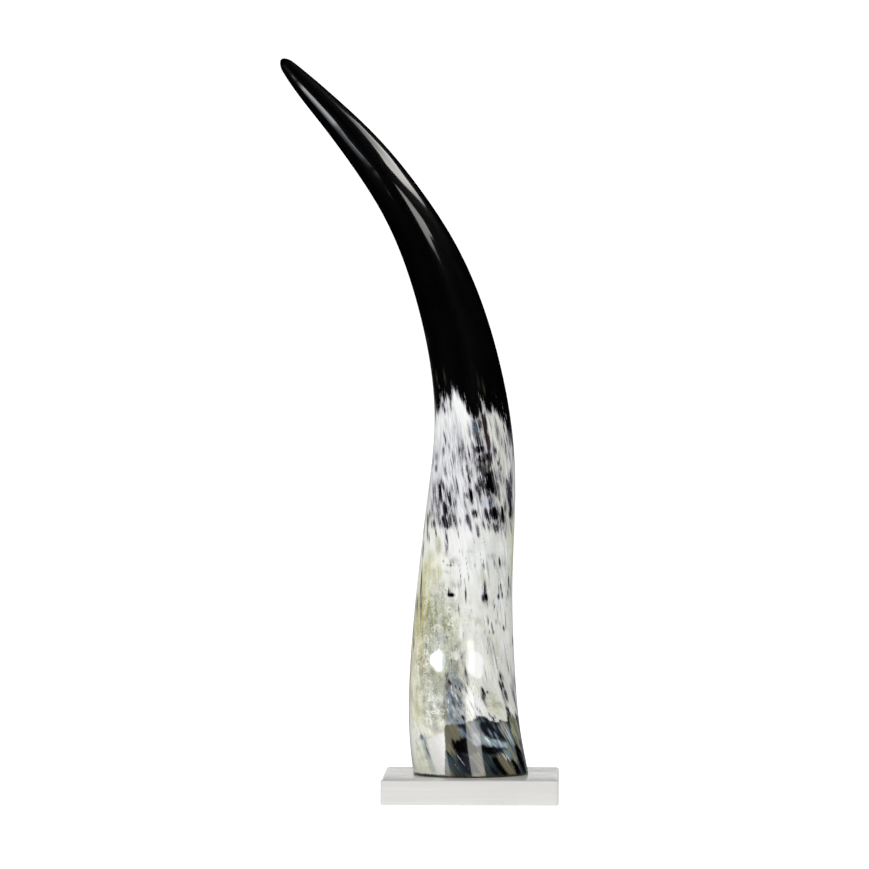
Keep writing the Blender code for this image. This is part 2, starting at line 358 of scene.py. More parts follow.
paint = {
    "pixelSize": 0.7265,  # mm on the horn for each photo pixel
    # place along the horn in mm, and how far the fibres have turned round it there, in degrees
    "fibreTurn": [
        (0, 0), (40, -19), (72, -31), (100, -38), (132, -44.4), (165, -52), (185, -59),
        (206, -70), (240, -87), (278, -98), (310, -102), (350, -105), (600, -118),
    ],
    "tones": {
        "ink": (1, 1, 2), "navy": (28, 31, 44), "umber": (44, 33, 34), "smoke": (82, 79, 88),
        "slate": (92, 112, 134), "olive": (58, 56, 36), "peat": (112, 108, 90), "bottle": (58, 70, 72),
        "teal": (96, 116, 120), "pitch": (20, 24, 32), "drab": (158, 156, 144), "bark": (116, 108, 92),
        "mist": (206, 216, 216), "haze": (152, 170, 178), "fern": (140, 144, 118),
        "taupe": (148, 145, 136), "fernpale": (206, 210, 184), "mosspale": (176, 180, 154),
        "soot": (60, 59, 63), "fog": (206, 210, 206), "paintedHighlight": (250, 251, 250),
        "paintedReflection": (219, 216, 212), "ivory": (221, 223, 210), "steel": (104, 120, 130),
        "lilac": (234, 235, 238), "milk": (242, 243, 242), "sage": (208, 210, 202),
        "cream": (232, 231, 208), "straw": (206, 202, 156), "tan": (186, 168, 124),
        "celadon": (212, 216, 190), "moss": (160, 162, 142), "pebble": (206, 206, 199),
        "ice": (186, 200, 214), "bone": (230, 231, 226), "khaki": (172, 168, 108),
        "lichen": (146, 148, 122), "paintedStripTop": (116, 122, 128), "ash": (150, 156, 158),
    },
    # lower edge of the black part: angle in degrees, place in mm
    "border": [
        (-160, 286), (-151, 283), (-146, 288), (-140, 295), (-136.5, 291), (-131.5, 292), (-127, 297),
        (-124, 292), (-120.5, 291), (-114.5, 303), (-112, 299), (-110, 294), (-107, 297), (-105, 294),
        (-101, 289), (-96.5, 286), (-92, 281), (-87, 276), (-82, 279), (-76, 280), (-70, 289),
        (-67.5, 285), (-64.5, 280), (-59.5, 284), (-52, 282), (-44.5, 280), (-36.5, 274), (-30, 280),
        (-25.5, 275), (-21, 267), (-15, 262), (-9, 248), (-4, 236), (3, 226), (12, 240), (22, 258),
    ],
    "clearTones": ["milk", "cream"],  # these thin out the streaks and dark marks below them
    # every mark: pixels across and down the photo, half its width and length in pixels, strength,
    # and its tone where it has one
    "strokes": [
        (480, 424, 3.5, 10, 0.7, "smoke"), (479, 436, 5, 9, 0.8, "soot"),
        (480, 449, 5.5, 5, 1, "soot"), (484, 460, 7, 9, 0.85, "soot"), (483, 472, 7, 9, 0.85, "soot"),
        (492, 474, 6, 8, 0.85, "soot"), (484, 486, 7, 8, 0.85, "soot"), (496, 489, 5, 8, 0.8, "soot"),
        (490, 483, 5.5, 8, 1, "ink"), (433, 524, 2.5, 5, 0.85, "navy"), (440, 521, 3, 6, 0.8, "soot"),
        (446, 524, 5, 4, 1.1, "ink"), (428, 520, 1.5, 8, 0.8, "smoke"),
        (494, 448, 2.5, 14, 0.55, "smoke"), (491, 425, 1.6, 12, 0.5, "smoke"),
        (486, 410, 2, 10, 0.6, "smoke"), (498, 430, 3, 16, 0.55, "smoke"),
        (503, 440, 2.5, 18, 0.5, "smoke"), (474, 447, 3, 9, 0.6, "smoke"),
        (469, 432, 2.5, 10, 0.5, "slate"), (473, 462, 3, 12, 0.6, "smoke"),
        (461, 458, 3.5, 10, 0.55, "smoke"), (497, 508, 5, 6, 0.6, "smoke"),
        (505, 508, 3, 8, 0.7, "navy"), (492, 500, 4, 6, 0.6, "smoke"), (480, 500, 4, 9, 0.5, "smoke"),
        (470, 498, 3, 9, 0.55, "smoke"), (435, 490, 5, 14, 0.55, "smoke"),
        (446, 494, 5, 12, 0.55, "smoke"), (452, 505, 4, 12, 0.5, "smoke"),
        (438, 515, 6, 8, 0.6, "soot"), (449, 518, 7, 6, 0.6, "soot"), (432, 505, 3, 12, 0.5, "smoke"),
        (475, 425, 3, 8, 0.45, "slate"), (471, 412, 2.5, 7, 0.5, "slate"),
        (466, 405, 2, 6, 0.45, "slate"), (438, 505, 4, 14, 0.58, "smoke"),
        (432, 515, 3, 10, 0.5, "smoke"), (446, 512, 4, 12, 0.6, "smoke"),
        (453, 520, 5, 7, 0.5, "smoke"), (442, 524, 6, 4, 0.55, "smoke"), (434, 524, 3, 6, 0.5, "navy"),
        (440, 480, 3, 14, 0.42, "smoke"), (450, 470, 3, 16, 0.42, "smoke"),
        (458, 440, 2.5, 12, 0.45, "smoke"), (462, 465, 2.5, 12, 0.48, "smoke"),
        (455, 430, 2, 14, 0.38, "smoke"), (447, 425, 2, 12, 0.38, "smoke"),
        (470, 485, 3, 10, 0.45, "smoke"), (465, 505, 4, 10, 0.45, "smoke"),
        (500, 455, 3, 14, 0.42, "smoke"), (504, 480, 3, 16, 0.5, "smoke"),
        (510, 488, 2.5, 12, 0.62, "navy"), (511, 505, 2, 9, 0.75, "navy"),
        (497, 435, 2.2, 12, 0.4, "smoke"), (489, 520, 3, 6, 0.6, "smoke"),
        (498, 522, 4, 6, 0.62, "smoke"), (512, 470, 2, 14, 0.45, "smoke"),
        (513, 440, 1.6, 16, 0.5, "smoke"), (508, 415, 1.6, 10, 0.55, "smoke"),
        (437, 460, 2.5, 9, 0.42, "smoke"), (430, 480, 2.5, 14, 0.4, "smoke"),
        (446, 548, 1.6, 8, 0.5, "smoke"), (452, 562, 5, 4, 0.4, "slate"),
        (447, 572, 5, 3, 0.36, "slate"), (470, 552, 5, 3, 0.33, "slate"),
        (492, 556, 6, 4, 0.38, "slate"), (504, 563, 3, 6, 0.4, "smoke"),
        (455, 585, 6, 4, 0.36, "smoke"), (470, 603, 5, 5, 0.33, "slate"),
        (487, 604, 3, 6, 0.45, "smoke"), (500, 607, 4, 8, 0.38, "slate"),
        (488, 640, 0.8, 16, 0.55, "navy"), (492, 655, 0.8, 18, 0.6, "navy"),
        (497, 668, 0.8, 14, 0.7, "navy"), (505, 650, 0.8, 14, 0.4, "smoke"),
        (508, 668, 0.8, 12, 0.5, "navy"), (485, 672, 0.8, 12, 0.5, "navy"),
        (514, 660, 0.8, 16, 0.4, "smoke"), (512, 676, 1.2, 14, 0.55, "navy"),
        (455, 690, 5, 9, 0.41, "teal"), (459, 700, 5, 9, 0.41, "teal"), (452, 712, 5, 8, 0.38, "teal"),
        (463, 712, 4, 7, 0.38, "teal"), (456, 670, 4, 8, 0.45, "moss"),
        (449, 690, 2.5, 8, 0.45, "teal"), (447, 660, 3, 8, 0.42, "moss"),
        (447, 640, 2.5, 10, 0.4, "teal"), (452, 650, 5, 10, 0.36, "teal"),
        (462, 655, 3, 10, 0.36, "teal"), (446, 680, 1, 5, 0.68, "navy"),
        (448, 674, 0.9, 4, 0.68, "navy"), (453, 671, 1, 4, 0.6, "navy"),
        (456, 686, 1, 4, 0.68, "navy"), (461, 684, 0.9, 5, 0.64, "navy"),
        (453, 700, 1, 5, 0.68, "navy"), (462, 702, 1, 6, 0.71, "navy"), (465, 710, 1, 5, 0.68, "navy"),
        (470, 712, 0.9, 6, 0.52, "navy"), (484, 700, 1.6, 8, 0.6, "navy"),
        (490, 716, 1, 4, 0.7, "navy"), (495, 717, 0.9, 4, 0.6, "smoke"),
        (444, 702, 0.8, 5, 0.5, "smoke"), (437, 693, 0.8, 4, 0.4, "smoke"),
        (444.6, 410, 1, 4.5, 0.9, "ink"), (484, 421, 2.4, 9, 1, "ink"),
        (487, 438, 2.2, 13, 0.95, "umber"), (479.5, 450, 4.5, 2.6, 1, "ink"),
        (477, 431, 5, 14, 0.55, "smoke"), (484, 472, 10, 15, 0.62, "smoke"),
        (490, 483, 5, 9.5, 1.05, "ink"), (486, 491, 7, 5, 0.7, "smoke"),
        (443.8, 451, 1.8, 6, 0.75, "smoke"), (436.3, 467.5, 1.8, 4.5, 0.8, "smoke"),
        (460, 451, 2, 6, 0.75, "umber"), (464.4, 450, 1.5, 7, 0.6, "smoke"),
        (466.9, 468.8, 1.3, 5, 0.85, "navy"), (468.8, 478.8, 1.8, 5.5, 0.9, "navy"),
        (495.6, 450, 1.3, 4, 0.9, "navy"), (497.8, 463, 1, 3, 0.85, "navy"),
        (503.8, 427.5, 1, 4, 0.8, "navy"), (501.5, 444, 0.8, 8, 0.6, "smoke"),
        (507.2, 484, 1.8, 6, 0.9, "navy"), (509.5, 500, 3, 18, 0.85, "smoke"),
        (510, 514, 2.2, 5, 1.05, "ink"), (440.4, 495, 1.5, 9.5, 1.1, "ink"),
        (443.8, 487, 1.1, 7, 0.9, "navy"), (450, 500, 1.5, 9, 0.95, "navy"),
        (445.2, 510, 2, 10, 1, "ink"), (446.3, 523, 5, 4.5, 1.05, "ink"),
        (434, 498, 2.6, 14, 0.6, "smoke"), (437.5, 514, 2.4, 11, 0.55, "smoke"),
        (452, 513, 2.6, 14, 0.6, "smoke"), (455.5, 501, 2, 7, 0.6, "smoke"),
        (465.8, 495, 2.6, 3.4, 0.75, "smoke"), (470.6, 494, 1.6, 6.5, 1, "ink"),
        (472, 500.5, 1.8, 4.5, 0.9, "navy"), (475, 513.8, 2.8, 4.4, 0.95, "umber"),
        (468, 520, 3.1, 5.8, 0.85, "smoke"), (467.5, 517, 1, 3, 0.9, "navy"),
        (476.9, 529, 2.3, 6.5, 0.8, "smoke"), (478, 534, 1.4, 2.5, 0.85, "navy"),
        (486.9, 515, 2.5, 6.5, 0.95, "navy"), (495, 514.4, 4.3, 6.2, 1.1, "ink"),
        (496.3, 526, 4, 5, 0.8, "smoke"), (502.5, 515, 2, 7.6, 1.05, "ink"),
        (505, 535, 0.8, 4.5, 0.6, "smoke"), (427.3, 531, 0.8, 8, 0.9, "navy"),
        (428.8, 537, 1.1, 6, 0.7, "smoke"), (423, 550, 0.8, 8, 0.95, "navy"),
        (421.4, 585, 0.8, 20, 0.9, "navy"), (421, 605, 0.8, 17, 1, "navy"),
        (422, 633, 0.7, 6, 0.6, "smoke"), (436, 532.5, 0.8, 4.5, 0.8, "navy"),
        (446.3, 537.5, 1.4, 7, 0.75, "smoke"), (447.5, 547, 1, 5, 0.55, "smoke"),
        (458, 534, 1, 5, 0.6, "smoke"), (460, 550, 0.7, 2.5, 0.7, "smoke"),
        (474, 541, 0.7, 4, 0.6, "smoke"), (484, 565.6, 1.4, 3.6, 1, "navy"),
        (483.6, 560.5, 0.7, 4, 0.7, "smoke"), (494.4, 562.5, 0.9, 6, 0.75, "smoke"),
        (499.4, 563, 1.2, 5.2, 1, "navy"), (475, 565, 0.8, 3, 0.5, "smoke"),
        (449.4, 566, 4, 1.6, 0.6, "smoke"), (443, 562, 0.8, 1.6, 0.8, "navy"),
        (451.3, 594.4, 3.5, 2, 1.1, "ink"), (449, 590.6, 1.1, 3.6, 0.9, "navy"),
        (465.6, 594, 0.95, 7, 1, "navy"), (464.4, 582.5, 0.8, 4.2, 0.7, "smoke"),
        (485.7, 589, 1.3, 9, 1, "navy"), (485.2, 597.5, 3, 4.4, 0.95, "navy"),
        (501.3, 587.5, 0.8, 6, 0.85, "navy"), (498.8, 597.5, 1.2, 3, 0.95, "navy"),
        (502.3, 595, 0.9, 4, 0.9, "navy"), (508.8, 582.5, 0.8, 7, 0.9, "navy"),
        (487.3, 616, 0.8, 3, 0.6, "smoke"), (488.1, 622.5, 0.8, 4.2, 0.9, "navy"),
        (491.9, 626, 1, 5, 0.95, "navy"), (493, 631.5, 1, 3, 0.9, "navy"),
        (489.4, 631, 0.7, 3, 0.7, "smoke"), (496.3, 622.5, 1.2, 3, 0.75, "smoke"),
        (503.5, 628.8, 1, 3, 0.9, "navy"), (500, 624, 0.6, 3, 0.6, "smoke"),
        (493, 648, 0.6, 9, 0.6, "smoke"), (496.5, 662, 0.6, 9, 0.6, "smoke"),
        (500, 676, 1.2, 5, 0.95, "navy"), (502.5, 677, 0.7, 4, 0.8, "smoke"),
        (503, 685.5, 1.2, 5, 0.9, "navy"), (505.6, 695, 1.7, 7, 1, "navy"),
        (515, 685, 1, 9, 0.7, "smoke"), (449.4, 682.5, 3.6, 5, 0.75, "navy"),
        (453.8, 680, 2.5, 4, 0.71, "slate"), (457.5, 681, 2, 5.5, 0.68, "slate"),
        (459.4, 690, 1.8, 3.4, 0.75, "navy"), (451.3, 696, 2, 5.5, 0.75, "navy"),
        (457.5, 697.5, 2, 6, 0.75, "navy"), (445.5, 676, 2.2, 4, 0.6, "umber"),
        (447, 687, 2, 5, 0.64, "umber"), (465.6, 675, 1.3, 9, 0.75, "navy"),
        (467, 683, 1.2, 4, 0.68, "navy"), (463, 664, 1.2, 4.5, 0.65, "smoke"),
        (451, 661, 1.4, 3, 0.6, "smoke"), (451, 672, 4, 7, 0.3, "moss"),
        (483.8, 692.5, 1.6, 5, 1.05, "ink"), (482.5, 696.5, 1.9, 4.2, 1, "ink"),
        (487.5, 692, 1.2, 1.6, 0.8, "navy"), (475, 692.5, 9, 1.3, 0.25, "smoke"),
        (459, 704, 1.8, 9, 0.75, "navy"), (451, 704, 5, 9, 0.38, "slate"),
        (455, 711, 4, 6, 0.38, "slate"), (462.5, 717, 1.7, 2.6, 0.83, "ink"),
        (477.5, 707.5, 0.8, 6.5, 0.8, "navy"), (480, 711, 0.8, 5, 0.8, "navy"),
        (472, 706, 0.8, 7.5, 0.65, "smoke"), (476, 716, 0.7, 3, 0.8, "navy"),
        (505, 702, 1, 10, 0.9, "navy"), (507.8, 709, 1.5, 3.2, 1.05, "ink"),
        (501, 686, 1.2, 7, 0.85, "navy"), (510, 716, 2.2, 5.5, 1.1, "ink"),
        (512, 730, 1.7, 9, 1, "ink"), (517, 747, 1.3, 21, 1.05, "ink"), (522, 741, 1, 22, 1.05, "ink"),
        (514.5, 698, 1.3, 18, 0.7, "smoke"), (511.5, 690, 0.8, 9, 0.6, "smoke"),
        (422, 737.5, 2.1, 2.6, 0.85, "slate"), (427.6, 752, 2.4, 12, 0.55, "slate"),
        (425, 742, 2, 6, 0.5, "slate"), (504, 414, 3, 9, 1.2, "ink"), (500, 408, 3, 7, 1.2, "ink"),
        (508, 424, 2.4, 12, 1.2, "ink"), (511.5, 436, 1.6, 10, 1.1, "ink"),
        (472, 410, 4, 6, 0.8, "navy"), (476, 414, 3, 6, 0.9, "navy"),
        (484.6, 425, 1.9, 9, 1.25, "umber"), (488.2, 442, 2, 11, 1.25, "umber"),
        (484, 466, 6, 7, 1.1, "soot"), (443, 405, 1.6, 6, 0.9, "navy"),
        (462, 684, 2.6, 7, 0.5, "teal"), (464, 677, 2, 7, 0.5, "slate"),
        (461, 704, 3.5, 8, 0.5, "teal"), (466, 690, 1.4, 8, 0.6, "navy"),
        (450, 664, 3, 6, 0.4, "teal"), (456, 676, 2.5, 5, 0.5, "teal"), (480, 466, 4.5, 10, 1, "soot"),
        (489, 462, 3.5, 8, 1, "soot"), (482, 484, 5, 7, 0.9, "soot"), (493, 483, 3, 7, 0.8, "soot"),
        (488, 486, 5, 5, 1.15, "ink"), (510, 492, 3, 14, 1, "navy"), (463, 718, 2.5, 4, 0.9, "navy"),
        (432, 508, 2, 9, 0.6, "smoke"), (436, 500, 2, 8, 0.7, "navy"),
        (430, 515, 1.8, 7, 0.6, "smoke"), (477, 488, 2.4, 6, 0.8, "soot"),
        (480, 494, 2.4, 5, 0.8, "soot"), (511, 478, 1.8, 10, 0.8, "navy"),
        (507, 490, 2, 9, 0.7, "smoke"), (452, 693, 0.8, 3, 1.2, "milk"),
        (456, 698, 0.8, 4, 1.2, "milk"), (449, 701, 0.7, 3, 1.2, "mist"),
        (454, 709, 0.8, 3.5, 1.2, "milk"), (459, 712, 0.7, 3, 1.2, "mist"),
        (448, 712, 0.7, 2.5, 1.2, "milk"), (457, 686, 0.6, 2.5, 1.2, "mist"),
        (451, 688, 0.6, 2, 1.2, "mist"), (455, 716, 0.8, 2.5, 1.2, "milk"),
        (449, 695, 1.2, 4, 1, "slate"), (454, 703, 1.2, 4, 1, "teal"), (451, 716, 1.2, 4, 1, "slate"),
        (459, 705, 1.2, 4, 0.9, "slate"), (468, 406, 2.2, 7, 1.4, "ink"),
        (471.5, 411, 2.2, 6, 1.3, "ink"), (450.5, 404, 1.2, 8, 0.8, "smoke"),
        (447.5, 409, 1, 6, 0.5, "smoke"), (453.5, 410, 1, 7, 0.4, "smoke"),
        (479, 404, 3, 8, 1.4, "ink"), (476, 408, 3.4, 8, 1.4, "ink"), (489, 404, 1.8, 8, 1.4, "ink"),
        (493.5, 402, 3.4, 7, 1.4, "ink"), (498.5, 408, 1.8, 9, 1.4, "ink"),
        (503, 412, 1.8, 9, 1.4, "ink"), (476, 431, 4, 11, 1, "soot"), (479, 441, 4, 9, 1, "soot"),
        (495.5, 527, 3.6, 5, 1.1, "soot"), (470, 528, 2, 5, 0.7, "smoke"),
        (483, 524, 2, 5, 0.7, "smoke"), (489, 527, 1.6, 5, 0.7, "smoke"),
        (460, 522, 1.4, 5, 0.6, "smoke"), (503, 527, 1.4, 5, 0.6, "smoke"),
        (480, 458, 1, 2.6, 1.3, "ink"), (484, 462, 1, 2.6, 1.3, "ink"), (488, 457, 1, 2.6, 1.3, "ink"),
        (482, 468, 1, 2.6, 1.3, "ink"), (489, 467, 1, 2.6, 1.3, "ink"),
        (485.5, 475, 1, 2.6, 1.3, "ink"), (480.5, 477, 1, 2.6, 1.3, "ink"),
        (491, 475, 1.2, 3, 1.3, "ink"), (483, 464.5, 0.7, 2, 1.2, "drab"),
        (487, 463, 0.7, 2, 1.2, "drab"), (480.5, 470, 0.7, 2, 1.4, "drab"),
        (486, 469.5, 0.7, 2, 1.4, "drab"), (490.5, 463, 0.7, 2, 1.2, "drab"),
        (484, 481, 0.7, 2, 1.4, "drab"), (478.5, 463, 0.7, 2, 1.2, "drab"),
        (488.5, 472, 0.7, 2, 1.4, "drab"), (436, 456, 2.4, 8, 0.6, "smoke"),
        (433, 462, 1.4, 8, 0.6, "smoke"), (445, 470, 1.4, 9, 0.65, "smoke"),
        (441, 483, 1.6, 8, 0.75, "smoke"), (457, 484, 1.6, 9, 0.7, "smoke"),
        (463, 447, 1.5, 9, 0.7, "smoke"), (466, 456, 1.5, 8, 0.7, "smoke"),
        (469, 472, 1.8, 10, 0.75, "navy"), (494, 470, 2, 9, 0.7, "smoke"),
        (500, 478, 2, 10, 0.6, "smoke"), (499, 495, 2.4, 9, 0.7, "smoke"),
        (491, 502, 2.4, 6, 0.7, "smoke"), (488, 494, 5, 5, 0.8, "soot"),
        (505, 448, 1.8, 12, 0.6, "smoke"), (510, 455, 1.4, 14, 0.6, "smoke"),
        (487, 474, 7, 7, 1.05, "soot"), (483, 480, 4, 8, 0.9, "soot"), (476, 435, 3, 9, 0.95, "soot"),
        (474, 424, 2, 7, 0.85, "slate"), (432, 450, 2, 12, 0.6, "smoke"),
        (449, 447, 1.6, 9, 0.6, "smoke"), (455, 456, 1.6, 8, 0.6, "smoke"),
        (434, 490, 3, 11, 0.7, "smoke"), (430, 470, 1.6, 9, 0.55, "smoke"),
        (462, 472, 2, 9, 0.6, "smoke"), (452, 488, 2.4, 10, 0.6, "smoke"),
        (491, 458, 1.8, 8, 1.1, "umber"), (478.5, 450, 3.6, 2.6, 1.7, "ink"),
        (490.5, 484, 4.6, 7.5, 1.7, "ink"), (446, 523, 3.6, 4.2, 1.5, "ink"),
        (443.5, 519, 2, 4, 1.2, "ink"), (494.5, 514, 4.2, 4.6, 1.6, "ink"),
        (502.5, 515, 1.8, 7.5, 1.3, "ink"), (470.8, 494.5, 2, 4.6, 1.4, "ink"),
        (440.4, 494, 1.4, 8.5, 1.4, "ink"), (445, 510, 1.8, 8, 1.3, "ink"),
        (449.5, 500, 1.2, 7, 1.2, "ink"), (511, 508, 2, 12, 1.1, "ink"),
        (509, 490, 1.6, 10, 1, "navy"), (475, 514, 2.2, 3.6, 1.2, "umber"),
        (451.3, 594.4, 3, 1.6, 1.6, "ink"), (485.5, 597, 2.2, 3.6, 1.4, "ink"),
        (444, 512, 1, 9, 0.9, "navy"),
    ],
    "washes": [
        (452, 470, 16, 40, 0.9, "lilac"), (445, 440, 10, 30, 0.7, "lilac"),
        (498, 470, 11, 45, 0.85, "sage"), (470, 425, 8, 20, 0.8, "milk"),
        (505, 560, 10, 70, 0.85, "sage"), (470, 560, 24, 34, 0.8, "milk"),
        (484, 545, 12, 16, 0.6, "milk"), (430, 565, 7, 50, 0.8, "cream"),
        (424, 600, 8, 45, 1, "straw"), (426, 660, 12, 60, 0.9, "straw"),
        (431, 631, 4, 5.5, 0.7, "tan"), (423, 670, 3.2, 13, 0.6, "tan"),
        (438, 705, 12, 20, 0.7, "straw"), (420, 705, 9, 30, 0.6, "cream"),
        (414, 740, 7, 34, 0.8, "cream"), (424, 758, 9, 24, 0.8, "celadon"),
        (434, 680, 7, 16, 0.5, "celadon"), (439, 622, 4.6, 26, 1, "moss"),
        (438.5, 650, 3.6, 14, 0.6, "moss"), (452, 622, 9, 26, 0.3, "celadon"),
        (455, 640, 7, 14, 0.25, "moss"), (452, 666, 9, 12, 0.8, "moss"),
        (470, 640, 12, 24, 0.5, "milk"), (500, 650, 12, 50, 0.6, "pebble"),
        (475, 705, 9, 16, 0.9, "milk"), (497, 705, 9, 13, 0.8, "cream"),
        (498.8, 705, 4.4, 5.5, 0.8, "moss"), (509, 690, 5, 28, 0.5, "pebble"),
        (489, 503, 8, 4, 0.8, "ice"), (452, 702, 9, 14, 0.6, "ice"), (458, 722, 8, 7, 0.5, "ice"),
        (438, 560, 9, 30, 0.5, "cream"), (478, 560, 6, 36, 0.5, "fog"), (500, 570, 9, 40, 0.6, "fog"),
        (510, 560, 5, 60, 0.6, "fog"), (470, 590, 8, 8, 0.3, "fog"),
        (440, 612, 6, 24, 0.5, "mosspale"), (430, 600, 6, 22, 0.35, "fernpale"),
        (437, 640, 5, 20, 0.45, "fernpale"), (452, 600, 8, 22, 0.4, "mosspale"),
        (463, 612, 6, 18, 0.35, "sage"), (487, 640, 8, 34, 0.4, "sage"),
        (500, 690, 8, 26, 0.5, "sage"), (450, 662, 6, 16, 0.5, "mosspale"),
        (434, 690, 7, 26, 0.45, "mosspale"), (435, 452, 6, 30, 0.6, "lilac"),
        (480, 410, 6, 24, 0.75, "milk"), (495, 400, 4, 16, 0.6, "cream"),
        (455, 395, 5, 16, 0.7, "milk"), (492, 580, 12, 20, 0.5, "pebble"),
        (513, 600, 5, 60, 0.7, "sage"), (510, 680, 6, 40, 0.6, "sage"),
        (437, 655, 6, 14, 0.35, "celadon"), (420, 755, 9, 22, 0.7, "cream"),
        (415, 700, 4, 30, 0.3, "cream"), (434, 612, 5, 18, 0.4, "moss"),
        (430, 640, 7, 14, 0.35, "mosspale"), (426, 682, 8, 14, 0.4, "mosspale"),
        (438, 700, 5, 18, 0.5, "moss"), (416, 748, 5, 16, 0.5, "milk"), (462, 412, 6, 14, 0.9, "milk"),
        (458, 400, 4, 12, 0.8, "milk"), (499, 420, 3.5, 16, 0.7, "bone"),
        (436, 660, 9, 30, 0.6, "fernpale"), (425, 690, 7, 22, 0.5, "celadon"),
        (431, 702, 9, 14, 0.4, "mosspale"), (439, 731, 5, 3.5, 0.6, "bark"),
        (424, 738, 6, 2.4, 0.6, "haze"), (425.5, 748, 2.4, 9, 0.6, "haze"),
        (429, 760, 2.4, 9, 0.6, "haze"), (433, 770, 2.2, 6, 0.6, "haze"),
        (418, 758, 5, 16, 0.5, "celadon"), (418, 731, 1.1, 5.5, 0.95, "milk"),
        (421.5, 730, 1, 6, 0.95, "milk"), (425, 729.5, 1, 6, 0.95, "milk"),
        (428.5, 728, 1, 5.5, 0.9, "milk"), (432, 727, 1, 5, 0.8, "milk"),
        (415, 728, 1, 5, 0.7, "milk"), (498, 430, 11, 34, 0.9, "ivory"),
        (503, 490, 9, 44, 0.9, "ivory"), (436, 618, 7, 26, 0.55, "moss"),
        (435, 645, 5, 16, 0.5, "moss"), (436, 692, 8, 22, 0.6, "moss"),
        (430, 715, 8, 12, 0.5, "mosspale"), (441.5, 702, 2.6, 15, 0.75, "taupe"),
        (437, 729, 6, 3.4, 0.9, "taupe"), (422, 668, 7, 20, 0.35, "mosspale"),
        (416, 752, 5, 22, 0.7, "cream"), (418, 765, 8, 10, 0.5, "cream"),
        (440, 637, 4, 8, 0.7, "steel"), (441.5, 630, 3.4, 12, 0.6, "steel"),
        (450, 684, 4.5, 5, 0.8, "bark"), (455, 705, 6, 12, 0.7, "steel"),
        (461, 432, 1.6, 12, 0.5, "lilac"), (449, 625, 3, 10, 0.3, "steel"),
        (452, 668, 5, 6, 0.4, "steel"), (461, 700, 3, 8, 0.5, "steel"),
        (420, 610, 6, 16, 0.6, "khaki"), (418, 632, 4, 12, 0.5, "straw"),
        (414, 700, 4, 16, 0.6, "straw"), (416, 694, 6, 14, 0.5, "cream"),
        (456, 720, 10, 3, 0.6, "steel"), (447, 421, 5, 12, 0.6, "milk"),
        (431, 645, 6, 10, 0.5, "lichen"), (430, 722, 7, 7, 0.5, "mosspale"),
        (462, 690, 4, 12, 0.5, "moss"), (455, 640, 6, 12, 0.4, "mosspale"),
        (490, 698, 7, 16, 0.5, "moss"), (438, 590, 7, 16, 0.6, "pebble"),
        (428, 545, 7, 14, 0.7, "bone"), (449, 597, 6, 8, 0.5, "fog"), (470, 612, 10, 8, 0.5, "milk"),
        (438, 424, 4, 9, 0.6, "milk"), (436, 436, 3, 9, 0.6, "milk"), (508, 452, 3, 10, 0.5, "sage"),
        (428, 622, 4, 6, 0.45, "tan"), (421, 652, 4, 8, 0.4, "tan"), (459, 684, 3.5, 6, 0.6, "steel"),
        (495, 540, 14, 16, 0.5, "pebble"), (490, 552, 14, 14, 0.5, "fog"),
        (505, 545, 6, 16, 0.5, "sage"),
    ],
    # marks on the dark foot, and the pale patches over it
    "footStrokes": [
        (459, 766, 7, 10, 1.2, "bottle"), (447.6, 768, 2.2, 7, 1.2, "peat"),
        (461, 725, 3, 4, 1.1, "navy"), (464, 734, 2.2, 4.5, 1, "slate"),
        (466.3, 729, 1.6, 8.5, 1.3, "pitch"), (454.2, 743, 0.9, 4, 1.3, "ink"),
        (456.5, 748, 1.5, 5.5, 2.5, "ink"), (459.5, 751, 1.8, 3.8, 2.5, "ink"),
        (463, 741.5, 0.9, 4, 1.3, "ink"), (466.5, 741, 1, 4, 1.3, "ink"),
        (466, 747.5, 2.7, 5.5, 2.5, "ink"), (471.5, 747.5, 2.4, 4.4, 2.5, "ink"),
        (447.6, 754, 0.9, 6, 2.5, "ink"), (449.4, 757, 1.2, 4.4, 2.5, "ink"),
        (452.5, 763, 1.2, 6, 1, "pitch"), (464, 760, 3.4, 5, 2.2, "pitch"),
        (465, 768, 3.4, 6, 2.2, "navy"), (470, 764, 2.4, 8, 2, "navy"),
        (487, 729.5, 3, 6.5, 2.2, "pitch"), (492.5, 730.5, 3, 6.5, 2.2, "pitch"),
        (498, 730.5, 3, 6.5, 2.2, "pitch"), (502.5, 731, 2, 6, 2, "pitch"),
        (486, 720, 0.8, 3.2, 1.6, "pitch"), (493.5, 719.5, 0.7, 3, 1.4, "navy"),
        (500.5, 721.5, 1.6, 1.8, 1.4, "navy"), (510.8, 722, 1.7, 5, 2.5, "ink"),
        (513.5, 731, 0.9, 9, 2.5, "ink"), (516.5, 743, 1, 9, 2.5, "ink"),
        (519.5, 754, 1.1, 10, 2.5, "ink"), (523.3, 765, 1.5, 10, 2.5, "ink"),
        (517.6, 722, 0.8, 9, 2, "ink"), (519.8, 738, 0.9, 10, 2, "olive"),
        (487.5, 748.8, 3.6, 4.6, 1.4, "ink"), (493.5, 750, 4, 3.6, 1.4, "ink"),
        (498.5, 751.5, 3, 3, 1.2, "pitch"), (500.5, 767, 2.6, 8, 2.5, "ink"),
        (494, 772, 2.4, 5, 1, "pitch"), (515, 766, 2.2, 8, 2.5, "ink"),
        (506, 730, 1.8, 8, 2.5, "peat"), (515.5, 727, 2.4, 10, 2.5, "fern"),
        (508, 766, 3, 9, 2.2, "peat"), (449, 722.4, 3, 1.2, 1, "haze"), (455, 722, 3, 1.4, 1, "steel"),
        (461, 722.4, 2.6, 1.4, 1, "haze"), (487.5, 741, 3.4, 4, 1.3, "haze"),
        (494, 742.6, 5, 2.3, 1.3, "haze"), (500.5, 744.8, 4.6, 2.3, 1.2, "haze"),
